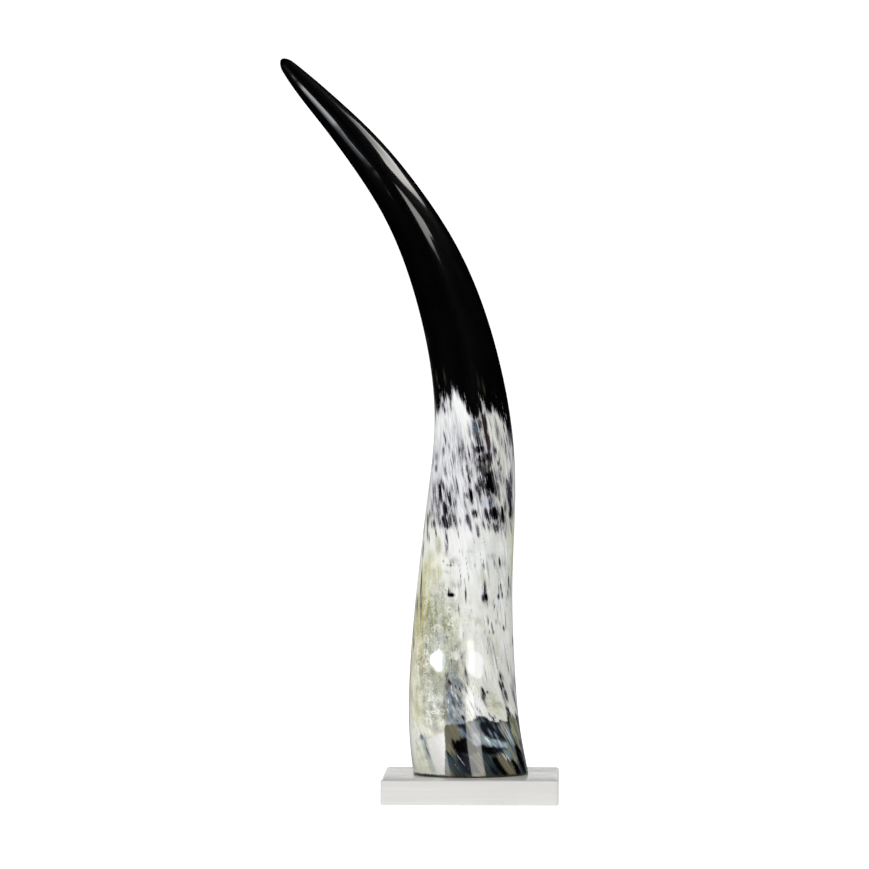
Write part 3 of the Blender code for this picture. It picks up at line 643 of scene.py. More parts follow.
        (509, 745.5, 3.6, 2.8, 1, "haze"), (505.5, 734, 2, 9, 1.4, "taupe"),
        (508.5, 738, 1.4, 8, 1.1, "steel"), (511, 745, 1.2, 8, 1.1, "steel"),
        (503.5, 726, 1, 4.6, 0.9, "steel"), (497, 736, 1.1, 3.4, 0.8, "steel"),
        (491, 734, 0.9, 4, 0.8, "steel"), (494.5, 727, 0.8, 5, 0.7, "steel"),
        (500.5, 731, 0.8, 5, 0.8, "steel"), (512.5, 754, 1.6, 7, 1.2, "fern"),
        (507.5, 755, 2.4, 4, 1.2, "steel"), (453.5, 766, 3.4, 8, 1.6, "bottle"),
        (461, 747, 2.4, 5, 2.5, "ink"), (468.5, 744, 2.6, 4.5, 2.5, "ink"),
        (508, 733, 1.8, 9, 2.2, "taupe"), (516, 738, 1.4, 8, 2.2, "fern"),
        (510.5, 736, 1, 7, 2, "haze"),
    ],
    "footLifts": [
        (447, 723.6, 3, 1.2, 0.35, "ice"), (452, 722.6, 3, 1.4, 0.3, "ice"),
        (458, 729, 1, 3, 0.6, "haze"), (461, 731, 0.9, 3, 0.6, "ice"),
        (488, 740.5, 0.9, 5, 0.7, "milk"), (485.3, 739.5, 0.9, 5, 0.65, "milk"),
        (490.6, 742.5, 0.8, 3.6, 0.55, "mist"), (482.3, 740.5, 0.9, 5, 0.6, "mist"),
        (478, 741, 0.8, 4, 0.4, "mist"), (497, 743, 2.4, 0.9, 0.45, "mist"),
        (502.5, 746, 2.4, 1, 0.6, "mist"), (509, 746, 1.6, 1.6, 0.35, "mist"),
        (506.5, 735, 1.2, 7, 0.5, "sage"), (511.5, 737, 0.6, 8, 0.55, "sage"),
        (515.5, 733, 0.6, 10, 0.55, "sage"), (518.8, 745, 0.6, 10, 0.5, "sage"),
        (489.7, 719, 1.2, 2.6, 0.7, "mist"), (497, 720, 2, 2, 0.55, "mist"),
        (505, 720.5, 2.2, 2, 0.55, "mist"), (504.7, 757.5, 1, 5, 0.65, "pebble"),
        (508, 757, 1, 5, 0.6, "pebble"), (497.5, 757, 1, 4, 0.35, "haze"),
        (505, 770, 0.6, 7, 0.4, "sage"), (512.4, 763, 0.5, 9, 0.6, "sage"),
        (516.5, 757, 0.5, 8, 0.65, "pebble"), (519.5, 768, 0.5, 8, 0.6, "pebble"),
        (521.3, 757, 0.5, 8, 0.55, "sage"), (455.5, 758, 0.7, 6, 0.5, "haze"),
        (460.5, 760, 0.7, 7, 0.45, "haze"), (457.5, 768, 0.7, 6, 0.4, "haze"),
        (450, 750, 0.9, 6, 0.25, "pebble"), (461, 770, 0.6, 6, 0.4, "haze"),
        (467, 757, 0.6, 6, 0.3, "haze"), (491, 760, 0.6, 8, 0.3, "haze"),
        (486, 764, 0.6, 8, 0.25, "haze"),
    ],
    # faint colour inside the black part
    "glints": [
        (425.5, 352, 0.8, 9, 0.55, "olive"), (427.5, 340, 0.7, 6, 0.5, "olive"),
        (444.6, 378, 0.8, 6, 0.5, "olive"), (478, 380, 0.8, 5, 0.45, "olive"),
        (431, 365, 0.8, 8, 0.5, "olive"), (484, 388, 0.9, 5, 0.5, "olive"),
        (437, 380, 0.7, 5, 0.5, "olive"),
    ],
    # where the surface is flaked with small rings
    "flakes": [
        (430, 610, 12, 26, 1), (426, 660, 14, 34, 1), (432, 705, 14, 24, 1), (455, 655, 9, 20, 1),
        (447, 622, 9, 28, 0.9), (454, 700, 9, 22, 1), (420, 745, 9, 24, 0.6), (497, 705, 9, 10, 0.7),
        (442, 590, 8, 6, 0.8), (465, 620, 10, 14, 0.4), (505, 560, 10, 30, 0.15),
    ],
    # where the polish has gone: at the tip and along the left side's lower highlight
    "dulls": [
        (287, 71, 14, 15, 1), (295, 80, 7, 7, 1), (337, 131, 7, 8, 0.6), (346, 142, 7, 9, 0.5),
        (355, 152, 7, 8, 0.5), (362, 161, 7, 7, 0.75), (370, 171, 8, 8, 1), (379, 183, 8, 10, 1),
        (440, 253, 5, 6, 0.5), (445, 262, 5, 7, 1),
    ],
    # patches with firm edges: tone, share, then corners in pixels, clockwise
    "patches": [
        ("taupe", 0.55, [(439, 686), (444.5, 683), (445.2, 719), (441, 719), (437, 706)]),
        ("mosspale", 0.6, [(434, 594), (446, 597), (447, 612), (446, 640), (445.5, 648),
                           (441, 648), (437, 634), (435, 612)]),
        ("steel", 0.3, [(438, 634), (445, 630), (445.5, 650), (441, 650)]),
        ("khaki", 0.6, [(413, 598), (428, 596), (435, 612), (437, 634), (426, 640), (412, 636)]),
        ("lichen", 0.75, [(428, 606), (436, 608), (438, 634), (441, 648), (430, 656), (424, 650)]),
        ("lichen", 0.75, [(428, 668), (437, 671), (444.5, 676), (445, 719), (433, 728), (427, 700)]),
        ("steel", 0.45, [(446, 672), (460, 672), (464, 686), (462, 704), (465, 723), (446, 726)]),
        ("milk", 0.8, [(452.5, 388), (455, 391), (460, 401), (464.5, 410), (472.5, 427),
                       (471, 433), (464, 435), (460, 424), (456, 408), (452.5, 396)]),
        ("moss", 0.45, [(421, 668), (431, 664), (444.5, 680), (444.5, 700), (436, 716),
                        (424, 712), (419, 690)]),
        # the next four, at full share, are painted light: highlights of the left and right lights on the
        # lower front, one with a bluish edge, and a pale reflected wedge of the left light low on the left
        ("mist", 1, [(440, 650), (445, 655), (445.5, 662), (443, 672), (438, 671)]),
        ("paintedHighlight", 1, [(439, 649), (442, 653), (442, 668), (440.5, 672), (436, 671),
                      (430, 663), (430, 655.5)]),
        ("paintedHighlight", 1, [(470, 650), (478, 652), (483, 658), (482.5, 675), (480, 679),
                      (473, 677), (468, 670), (469, 657)]),
        ("paintedReflection", 1, [(428.5, 739), (444.8, 732), (445.7, 745), (445, 774), (436, 774),
                      (432, 758), (428, 748)]),
    ],
    # even-toned parts of the dark foot, noted in the same way; the second and third paint the grey of the
    # right light's reflected strip into the foot's colour, a painted reflection
    "calm": [
        ("peat", 0.8, [(446, 725), (467, 724), (468.5, 744), (446, 745)]),
        ("paintedStripTop", 0.7, [(469, 722), (484, 721), (484, 734.5), (469, 734.5)]),
        ("ash", 0.6, [(469, 733.5), (484, 733.5), (487, 746), (469, 746)]),
    ],
    # how softly marks end, as a share of their size, and patches, in pixels
    "softness": {"wash": 0.7, "stroke": 0.8, "lift": 0.5, "glint": 0.8, "flake": 0.6, "dull": 0.5},
    "patchBlur": 0.8,
    "calmBlur": 1.5,
    "leastWidth": 2.0,  # the horn's half width counts as at least this many mm, near the tip
    "leastFacing": 0.35,  # marks seen more aslant than this grow no wider
    "leastSeen": 0.02,  # and none is placed on a spot seen more aslant than this
    "fibreRadius": 36,  # mm, of the round column in which the finish places its patterns
    # how much each mark takes away or tints
    "clearGrain": 0.7,
    "clearInk": 0.5,
    "coverGrain": 0.85,
    "coverInk": 0.9,
    "strokeTint": 1.6,
    "liftTint": 1.5,
    "blackTint": 1.4,
    # zones all the way round: how much there is at least, how much comes on top, and the places in mm
    # between which it does
    "zones": {
        "ink": (0.05, 0.22, 185, 205),
        "grain": (0.35, 0.65, 188, 208),
        "lowGrain": (0, 0.15, 120, 90),
        "lilac": (0, 0.55, 185, 215),
        "straw": (0, 0.75, 175, 120),
    },
    "strawMiddle": -170,  # degrees
    # random marks: how many, places in mm, angles in degrees, half lengths and half widths in mm,
    # strengths and tones; the mottles have other tones left of an angle, the far strokes are longer
    # above a place, and at the far side of the foot some marks are lifts
    "scattered": {
        "farWashes": {
            "count": 26, "places": (25, 275), "angles": (-10, 190),
            "lengths": (14, 45), "widths": (5, 14), "strengths": (0.4, 0.8),
            "tones": ["milk", "sage", "cream", "straw", "celadon", "pebble", "lilac"],
        },
        "mottles": {
            "count": 170, "places": (58, 192), "angles": (-172, -8),
            "lengths": (1.8, 6), "widths": (1.4, 3.4), "strengths": (0.3, 0.65),
            "tones": ["sage", "pebble", "bone", "fog", "mosspale", "milk"],
            "leftOf": -108,
            "leftTones": ["fernpale", "straw", "celadon", "moss", "khaki", "mosspale", "fern"],
        },
        "scratches": {
            "count": 80, "places": (58, 195), "angles": (-165, -25),
            "lengths": (2, 8), "widths": (0.4, 0.8), "strengths": (0.5, 0.9), "tones": ["milk"],
        },
        "thinFibres": {
            "count": 90, "places": (196, 268), "angles": (-178, -2),
            "lengths": (2.5, 8), "widths": (0.35, 0.9), "strengths": (0.45, 0.95),
            "tones": ["smoke", "smoke", "navy"],
        },
        "lowFibres": {
            "count": 60, "places": (62, 190), "angles": (-100, 5),
            "lengths": (3, 9), "widths": (0.3, 0.6), "strengths": (0.4, 0.8), "tones": ["navy"],
        },
        "farStrokes": {
            "count": 120, "places": (60, 275), "angles": (-8, 196), "highFrom": 190,
            "lengths": (3, 9), "highLengths": (4, 14), "widths": (0.7, 2.6), "strengths": (0.7, 1.05),
            "tones": ["navy", "smoke", "ink", "umber", "navy"],
        },
        "farFoot": {
            "count": 34, "places": (18, 52), "angles": (-8, 72), "darkShare": 0.5,
            "lengths": (4, 11), "widths": (1, 3), "strength": 1.2,
            "liftLengths": (3, 8), "liftWidths": (0.6, 1.8), "liftStrength": 0.7,
            "liftTones": ["pebble", "mist", "haze"],
        },
    },
    # the dark foot: its left limit as place in mm and angle in degrees, the angles over which it ends
    # on the right, and its upper edge in mm with waves of a size, number round the horn and start
    "foot": {
        "left": [(0, -131), (18, -126), (40, -119.5), (56, -113.5), (80, -108)],
        "rightEnds": (80, 55),
        "height": 57,
        "waves": [(2.0, 5, 0), (1.5, 13, 40)],
        "edgeBlur": 5,
        "strength": 2.2,
        "peatUpTo": -88,  # degrees
        # painted contact shade: a thin dark olive line along the horn's bottom edge, where it meets the
        # plinth
        "contactShadeEnds": (2.2, 0.6),  # heights over which its olive rim fades in, in mm
        "contactShadeStrength": 1.6,
    },
    # the black part: how it fills in above its edge, and its random teeth on the far side, in mm and
    # degrees
    "black": {
        "edgeBlur": 11,
        "solidFrom": 6,
        "solidOver": 8,
        "solidMost": 4,
        "toothGap": 9,
        "toothSteps": (3, 8),
        "toothPlaces": (268, 300),
    },
    "seed": 7,
}


def tone(name):
    return screenColour(*paint["tones"][name])


def fibreTurn(places):
    knots = np.array(paint["fibreTurn"], float)
    return np.interp(places, knots[:, 0], knots[:, 1])


def paintHorn(skin):
    mesh = skin.data
    count = len(mesh.vertices)
    points = np.empty(count * 3)
    mesh.vertices.foreach_get("co", points)
    points = points.reshape(-1, 3) / mm
    places = np.empty(count)
    mesh.attributes["place"].data.foreach_get("value", places)
    centres, side, depth, flat = hornRings(places)
    out = points - centres
    angles = np.degrees(np.arctan2((out * depth).sum(axis=1) / flat, (out * side).sum(axis=1)))
    fibres = angles - fibreTurn(places)
    widths = np.maximum(hornWidth(places), paint["leastWidth"])
    rng = np.random.default_rng(paint["seed"])
    softness, scattered = paint["softness"], paint["scattered"]

    def zone(name):
        least, more, low, high = paint["zones"][name]
        return least + more * smoothStep(low, high, places)

    wash = np.tile(tone("bone"), (count, 1))
    inkTone = np.tile(tone("smoke"), (count, 1))
    ink = zone("ink")
    grainy = zone("grain") + zone("lowGrain")
    cleared = np.zeros(count)

    normals = np.empty(count * 3)
    mesh.vertices.foreach_get("normal", normals)
    seenAcross, seenDown, rays = inPhoto(points * mm)
    facing = -(normals.reshape(-1, 3) * rays).sum(axis=1)

    def fromPhoto(mark):  # a mark as seen, to a mark in mm and degrees on the horn
        x, y, halfWidth, halfLength = mark[:4]
        gap = np.where(facing > paint["leastSeen"], np.hypot(seenAcross - x, seenDown - y), np.inf)
        nearest = gap.argmin()
        size = paint["pixelSize"]
        halfWidth *= size / max(facing[nearest], paint["leastFacing"])
        return (places[nearest], angles[nearest], halfLength * size, halfWidth, *mark[4:])

    def patchOf(corners, blur):  # the share of a patch with these corners, as the photo shows it
        inside = np.where(facing > 0, np.inf, -np.inf)
        for (x, y), (nextX, nextY) in zip(corners, corners[1:] + corners[:1]):
            past = (nextX - x) * (seenDown - y) - (nextY - y) * (seenAcross - x)
            inside = np.minimum(inside, past / np.hypot(nextX - x, nextY - y))
        return smoothStep(-blur, blur, inside)

    def reachOf(mark, soft):
        place, angle, halfLength, halfWidth = mark[:4]
        along = (places - place) / halfLength
        beside = (fibres - (angle - fibreTurn(place)) + 180) % 360 - 180
        aside = np.radians(beside) * widths / halfWidth
        return np.clip((1 + soft - np.hypot(along, aside)) / (2 * soft), 0, 1)

    def tint(colours, name, share):
        colours += (tone(name) - colours) * share[:, None]

    def layWash(mark):
        share = smoothStep(0, 1, reachOf(mark, softness["wash"])) * mark[4]
        tint(wash, mark[5], share)
        if mark[5] in paint["clearTones"]:
            grainy[:] *= 1 - paint["clearGrain"] * share
            ink[:] *= 1 - paint["clearInk"] * share

    def layStroke(mark):
        share = reachOf(mark, softness["stroke"]) * mark[4] * (1 - cleared)
        ink[:] = np.maximum(ink, share)
        tint(inkTone, mark[5], np.clip(share * paint["strokeTint"], 0, 1))

    def layLift(mark):
        share = smoothStep(0, 1, reachOf(mark, softness["lift"])) * mark[4]
        ink[:] *= (1 - share) ** 2
        tint(wash, mark[5], np.clip(share * paint["liftTint"], 0, 1))

    def scatter(name, lay):  # a single tone is taken without a draw
        values = scattered[name]
        for _ in range(values["count"]):
            place, angle = rng.uniform(*values["places"]), rng.uniform(*values["angles"])
            tones = values["tones"]
            if "leftOf" in values and angle < values["leftOf"]:
                tones = values["leftTones"]
            drawn = rng.choice(tones) if len(tones) > 1 else tones[0]
            halfLength, halfWidth = rng.uniform(*values["lengths"]), rng.uniform(*values["widths"])
            lay((place, angle, halfLength, halfWidth, rng.uniform(*values["strengths"]), drawn))

    # large zones, all the way round
    tint(wash, "lilac", zone("lilac"))
    towardsLeft = 0.5 + 0.5 * np.cos(np.radians(angles - paint["strawMiddle"]))
    tint(wash, "straw", zone("straw") * towardsLeft)
    for mark in paint["washes"]:
        layWash(fromPhoto(mark))
    for name in ("farWashes", "mottles", "scratches"):
        scatter(name, layWash)

    for name, most, corners in paint["patches"]:
        share = patchOf(corners, paint["patchBlur"]) * most
        tint(wash, name, share)
        # full patches are painted highlights and a painted reflection; they hide the grain and dark marks
        # below
        if most == 1:  # nothing shows through
            grainy *= 1 - paint["coverGrain"] * share
            ink *= 1 - paint["coverInk"] * share
            cleared = np.maximum(cleared, share)

    for mark in paint["strokes"]:
        layStroke(fromPhoto(mark))
    for name in ("thinFibres", "lowFibres"):  # between the larger marks
        scatter(name, layStroke)
    far = scattered["farStrokes"]
    for _ in range(far["count"]):
        place, angle = rng.uniform(*far["places"]), rng.uniform(*far["angles"])
        halfLength = rng.uniform(*far["lengths" if place < far["highFrom"] else "highLengths"])
        name, halfWidth = rng.choice(far["tones"]), rng.uniform(*far["widths"])
        layStroke((place, angle, halfLength, halfWidth, rng.uniform(*far["strengths"]), name))

    # dark foot, from the front round the right side to the back
    foot = paint["foot"]
    left = np.interp(places, *np.array(foot["left"], float).T)
    within = smoothStep(-1, 1, angles - left) * smoothStep(*foot["rightEnds"], angles)
    edge = np.full(count, float(foot["height"]))
    for size, number, start in foot["waves"]:
        edge += size * np.sin(np.radians(fibres * number + start))
    below = np.clip((edge - points[:, 2]) / foot["edgeBlur"] + 0.5, 0, 1)
    dark = within * below * foot["strength"] * (1 - cleared)
    ink[:] = np.maximum(ink, dark)
    shade = np.where(angles[:, None] < foot["peatUpTo"], tone("peat"), tone("bottle"))
    inkTone[:] += (shade - inkTone) * np.clip(dark, 0, 1)[:, None]
    # even-toned foot patches, two of them a painted reflection: the right light's strip down the foot
    calm = np.zeros(count)
    for name, most, corners in paint["calm"]:
        share = patchOf(corners, paint["calmBlur"])
        calm = np.maximum(calm, share * most)
        tint(inkTone, name, share)
    for mark in paint["footStrokes"]:
        layStroke(fromPhoto(mark))
    for mark in paint["footLifts"]:
        layLift(fromPhoto(mark))
    far = scattered["farFoot"]
    for _ in range(far["count"]):
        place, angle = rng.uniform(*far["places"]), rng.uniform(*far["angles"])
        if rng.random() < far["darkShare"]:
            halfLength, halfWidth = rng.uniform(*far["lengths"]), rng.uniform(*far["widths"])
            layStroke((place, angle, halfLength, halfWidth, far["strength"], "ink"))
        else:
            name = rng.choice(far["liftTones"])
            halfLength, halfWidth = rng.uniform(*far["liftLengths"]), rng.uniform(*far["liftWidths"])
            layLift((place, angle, halfLength, halfWidth, far["liftStrength"], name))
    # painted contact shade: a thin dark olive line along the bottom edge, fading in over the lowest mm
    rim = smoothStep(*foot["contactShadeEnds"], points[:, 2] - points[:, 2].min())
    ink[:] = np.maximum(ink, foot["contactShadeStrength"] * rim)
    tint(inkTone, "olive", rim)

    # the black part, with its toothed lower edge
    solid = paint["black"]
    teeth = [(angle - float(fibreTurn(place)), place) for angle, place in paint["border"]]
    first, here = teeth[0][0], teeth[-1][0]
    while here + solid["toothGap"] < first + 360:
        here += rng.uniform(*solid["toothSteps"])
        teeth.append((here, rng.uniform(*solid["toothPlaces"])))
    teeth = np.array(sorted(teeth))
    start = teeth[0, 0]
    lower = np.interp((fibres - start) % 360 + start, teeth[:, 0], teeth[:, 1], period=360)
    above = places - lower
    black = np.clip(above / solid["edgeBlur"] + 0.5, 0, 1)
    black += np.clip((above - solid["solidFrom"]) / solid["solidOver"], 0, solid["solidMost"])
    ink[:] = np.maximum(ink, black)
    tint(inkTone, "ink", np.clip(black * paint["blackTint"], 0, 1))
    for mark in paint["glints"]:
        tint(inkTone, mark[5], reachOf(fromPhoto(mark), softness["glint"]) * mark[4])
    flaky = np.zeros(count)
    for mark in paint["flakes"]:
        flaky = np.maximum(flaky, reachOf(fromPhoto(mark), softness["flake"]) * mark[4])
    gloss = np.ones(count)
    for mark in paint["dulls"]:
        share = smoothStep(0, 1, reachOf(fromPhoto(mark), softness["dull"])) * mark[4]
        gloss = np.minimum(gloss, 1 - share)

    def attribute(name, kind, values, key):
        made = mesh.attributes.new(name, kind, "POINT")
        made.data.foreach_set(key, np.ascontiguousarray(values, np.float32).ravel())

    around, radius = np.radians(fibres), paint["fibreRadius"]
    column = np.stack([radius * np.cos(around), radius * np.sin(around), places], axis=1)
    attribute("fibre", "FLOAT_VECTOR", column, "vector")
    shares = {"ink": ink, "grainy": grainy, "flaky": flaky * (1 - cleared), "gloss": gloss, "calm": calm}
    for name, values in shares.items():
        attribute(name, "FLOAT", values, "value")
    opaque = np.ones((count, 1))
    for name, values in {"wash": wash, "inkTone": inkTone}.items():
        attribute(name, "FLOAT_COLOR", np.hstack([values, opaque]), "color")
    mesh.attributes.remove(mesh.attributes["place"])


# The horn's finish, whose patterns lie in the space of the fibres, in mm

polish = {
    # how fine each pattern is across and along the fibres, its detail and its roughness
    "patterns": {
        "broad": (0.20, 0.02, 2, 0.5), "patchy": (0.13, 0.06, 2, 0.5), "medium": (0.62, 0.055, 3, 0.5),
        "second": (0.6, 0.045, 2, 0.5), "fine": (1.2, 0.10, 2, 0.5), "speck": (1.0, 0.6, 2, 0.5),
        "mottle": (0.22, 0.17, 4, 0.65),
    },
    # what lies over the pale ground: its tone, the ends between which its pattern turns into it, and
    # its strength
    "layers": {
        "coolBands": ((206, 211, 215), (0.48, 0.64), 0.32),
        "streaks": ((140, 140, 146), (0.48, 0.66), 0.72),
        "stains": ((146, 152, 126), (0.48, 0.62), 0.62),
        "flecks": ((240, 242, 232), (0.46, 0.34), 0.5),
        "pits": ((140, 142, 128), (0.20, 0.10), 0.6),
        "dust": ((252, 252, 248), (0.55, 0.70), 0.4),
    },
    "paleGrain": {"second": 0.6, "fine": 0.4},
    "streakPatches": (0.40, 0.58, 0.35, 1.0),
    "milkyShare": 0.5,
    "milkyBands": (0.50, 0.66, 0.0, 0.4),
    "ringTone": (244, 246, 236),
    "ringShare": 0.75,
    "ringInside": (0.16, 0.25),  # how far from a cell's centre a ring comes in and dies away
    "ringOutside": (0.26, 0.38, 1.0, 0.0),
    "ringGaps": (0.32, 0.46),
    "cellScale": 0.15,
    "cellsUsed": (0.30, 0.50),
    "cellBend": 0.08,
    "bendScale": 0.35,
    "bendReach": 60,
    # dark marks: the tones at their edges and in their cores, and how they break up
    "inkEdge": (142, 139, 150),
    "inkEdgeShare": 0.55,
    "inkEdgeEnds": (0.40, 1.0),
    "inkCore": (2, 2, 4),
    "inkCoreShare": 0.7,
    "inkCoreEnds": (0.50, 0.62),
    "inkCoreMost": 0.5,
    "inkVaried": (0.36, 0.64, 0.55, 1.6),
    "maskEnds": (0.12, 0.85),
    "darkGrain": {"medium": 0.42, "fine": 0.42, "speck": 0.16},
    "grainSpread": (5.0, -1.35),
    "grainLeast": 0.35,
    # the clear coat, and the soft sheen below it
    "sheenRoughness": (0.35, 0.65, 0.34, 0.46),
    "sheenSpecular": 0.05,
    "coatIndex": 1.54,
    "coatRoughness": 0.07,
    "bumpStrength": 0.5,
    "bumpDepth": 0.03,  # mm
}


def hornMaterial():
    material, tree, shader = newMaterial("polished horn, marked")

    def read(name, output):
        return addNode(tree, "ShaderNodeAttribute", attribute_name=name).outputs[output]

    def times(*values):
        product = values[0]
        for value in values[1:]:
            product = mathNode(tree, "MULTIPLY", product, value)
        return product

    def plus(first, second):
        return mathNode(tree, "ADD", first, second)

    def blended(name):  # several patterns added up
        first, *others = [times(noise[part], weight) for part, weight in polish[name].items()]
        for other in others:
            first = plus(first, other)
        return first

    def within(value, name):
        return rangeNode(tree, value, *polish[name])

    def layOver(ground, name, pattern, *shares, blend="MIX"):
        colour, ends, most = polish["layers"][name]
        share = times(rangeNode(tree, pattern, *ends), *shares, most)
        return mixNode(tree, share, ground, screenColour(*colour), blend)

    fibre = read("fibre", "Vector")
    ink, inkTone = read("ink", "Fac"), read("inkTone", "Color")
    grainy, flaky = read("grainy", "Fac"), read("flaky", "Fac")
    noise = {}
    for name, (across, along, detail, roughness) in polish["patterns"].items():
        noise[name] = noiseNode(tree, fibre, (across, across, along), detail, roughness)
    fine, medium, second, mottle = (noise[name] for name in ("fine", "medium", "second", "mottle"))

    # dark marks break up into fibres
    spread = mathNode(tree, "MULTIPLY_ADD", blended("darkGrain"), *polish["grainSpread"])
    level = times(ink, mathNode(tree, "MAXIMUM", spread, polish["grainLeast"]))
    restless = mathNode(tree, "SUBTRACT", 1.0, read("calm", "Fac"))
    varied = mixNode(tree, 1.0, inkTone, within(second, "inkVaried"), blend="MULTIPLY")
    inkTone = mixNode(tree, restless, inkTone, varied)
    deep = mixNode(tree, polish["inkCoreShare"], inkTone, screenColour(*polish["inkCore"]))
    core = mixNode(tree, times(within(fine, "inkCoreEnds"), polish["inkCoreMost"], restless), inkTone, deep)
    edge = mixNode(tree, polish["inkEdgeShare"], inkTone, screenColour(*polish["inkEdge"]))
    inkColour = mixNode(tree, within(level, "inkEdgeEnds"), edge, core)

    # pale ground: streaks, milky bands, mottling and small rings
    pale = layOver(read("wash", "Color"), "coolBands", medium, grainy)
    streaky = within(noise["patchy"], "streakPatches")
    pale = layOver(pale, "streaks", blended("paleGrain"), grainy, streaky)
    milky = mixNode(tree, polish["milkyShare"], pale, screenColour(255, 255, 255))
    pale = mixNode(tree, within(noise["broad"], "milkyBands"), pale, milky)
    pale = layOver(pale, "stains", mottle, flaky, blend="MULTIPLY")
    pale = layOver(pale, "flecks", mottle, flaky)
    cells = addNode(tree, "ShaderNodeTexVoronoi", feature="F1", voronoi_dimensions="3D")
    cells.inputs["Scale"].default_value = polish["cellScale"]
    shifted = shiftNode(tree, fibre, polish["bendScale"], polish["bendReach"])
    tree.links.new(mixNode(tree, polish["cellBend"], fibre, shifted), cells.inputs["Vector"])
    away = cells.outputs["Distance"]
    apart = addNode(tree, "ShaderNodeSeparateColor")
    tree.links.new(cells.outputs["Color"], apart.inputs["Color"])
    chosen = times(within(apart.outputs["Red"], "cellsUsed"), flaky)
    pale = layOver(pale, "pits", away, chosen)
    ring = times(within(away, "ringInside"), within(away, "ringOutside"), within(medium, "ringGaps"), chosen)
    pale = mixNode(tree, times(ring, polish["ringShare"]), pale, screenColour(*polish["ringTone"]))
    pale = layOver(pale, "dust", noise["speck"])
    colour = mixNode(tree, within(level, "maskEnds"), pale, inkColour)
    tree.links.new(colour, shader.inputs["Base Color"])

    # a soft sheen below, and over it the polish, slightly uneven where the surface is flaked
    tree.links.new(within(noise["patchy"], "sheenRoughness"), shader.inputs["Roughness"])
    shader.inputs["Specular IOR Level"].default_value = polish["sheenSpecular"]
    tree.links.new(read("gloss", "Fac"), shader.inputs["Coat Weight"])
    shader.inputs["Coat IOR"].default_value = polish["coatIndex"]
    shader.inputs["Coat Roughness"].default_value = polish["coatRoughness"]
    bump = addNode(tree, "ShaderNodeBump")
    bump.inputs["Strength"].default_value = polish["bumpStrength"]
    bump.inputs["Distance"].default_value = polish["bumpDepth"] * mm
    tree.links.new(plus(ring, times(mottle, flaky)), bump.inputs["Height"])
    for socket in ("Normal", "Coat Normal"):
        tree.links.new(bump.outputs["Normal"], shader.inputs[socket])
    return material


hornSkin = makeHornSkin(hornMaterial())
paintHorn(hornSkin)
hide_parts("horn")
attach(hornSkin, "root")
print("horn made,", len(hornSkin.data.polygons), "faces")


# Plinth

plinth = {
    "cornerRound": 3.0,  # mm
    "cornerSteps": 8,
    "edgeRound": 1.4,  # mm
    "edgeSteps": 5,
    "stone": (218, 217, 214),
    # veins over the stone, one after the other: how fine in each direction per mm, detail, the ends
    # between which they come in with how little and how much, and their tone
    "veins": {
        "layers": ((0.012, 0.35, 0.35), 3, (0.35, 0.65, 0, 1), (221, 220, 217)),
        "clouds": ((0.02, 0.06, 0.06), 2, (0.45, 0.75, 0, 0.35), (211, 210, 208)),
        "grit": ((1.2, 2.2, 2.2), 2, (0.55, 0.75, 0, 0.25), (204, 204, 202)),
    },
    "roughness": (0.3, 0.7, 0.20, 0.28),
}


def plinthMaterial():
    material, tree, shader = newMaterial("honed pale stone")
    place = addNode(tree, "ShaderNodeTexCoord").outputs["Object"]
    colour = screenColour(*plinth["stone"])
    pattern = {}
    for name, (stretch, detail, ends, veinTone) in plinth["veins"].items():
        pattern[name] = noiseNode(tree, place, stretch, detail, scale=1 / mm)
        colour = mixNode(tree, rangeNode(tree, pattern[name], *ends), colour, screenColour(*veinTone))
    tree.links.new(colour, shader.inputs["Base Color"])
    roughness = rangeNode(tree, pattern["layers"], *plinth["roughness"])
    tree.links.new(roughness, shader.inputs["Roughness"])
    return material


def makePlinth(material):
    low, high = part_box("plinth")
    bm = bmesh.new()
    size = high - low
    place = Matrix.Translation((low + high) / 2) @ Matrix.Diagonal((*size, 1))
    bmesh.ops.create_cube(bm, size=1, matrix=place)

    def isUpright(edge):
        return abs(edge.verts[0].co.z - edge.verts[1].co.z) > size.z / 2

    def isOuter(edge):  # between a level face and an upright one
        return len({abs(face.normal.z) > 0.5 for face in edge.link_faces}) > 1

    def roundOff(edges, radius, steps):
        bmesh.ops.bevel(bm, geom=edges, offset=radius * mm, segments=steps, profile=0.5,
                        affect="EDGES", material=-1)

    roundOff([edge for edge in bm.edges if isUpright(edge)], plinth["cornerRound"], plinth["cornerSteps"])
    level = [edge for edge in bm.edges if not isUpright(edge) and isOuter(edge)]
    roundOff(level, plinth["edgeRound"], plinth["edgeSteps"])
    bmesh.ops.recalc_face_normals(bm, faces=bm.faces)
    return pieceFromBmesh("plinthBlock", bm, material, sharpAngle=35)


plinthBlock = makePlinth(plinthMaterial())
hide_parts("plinth")
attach(plinthBlock, "root")
print("plinth made")


# Floor and light

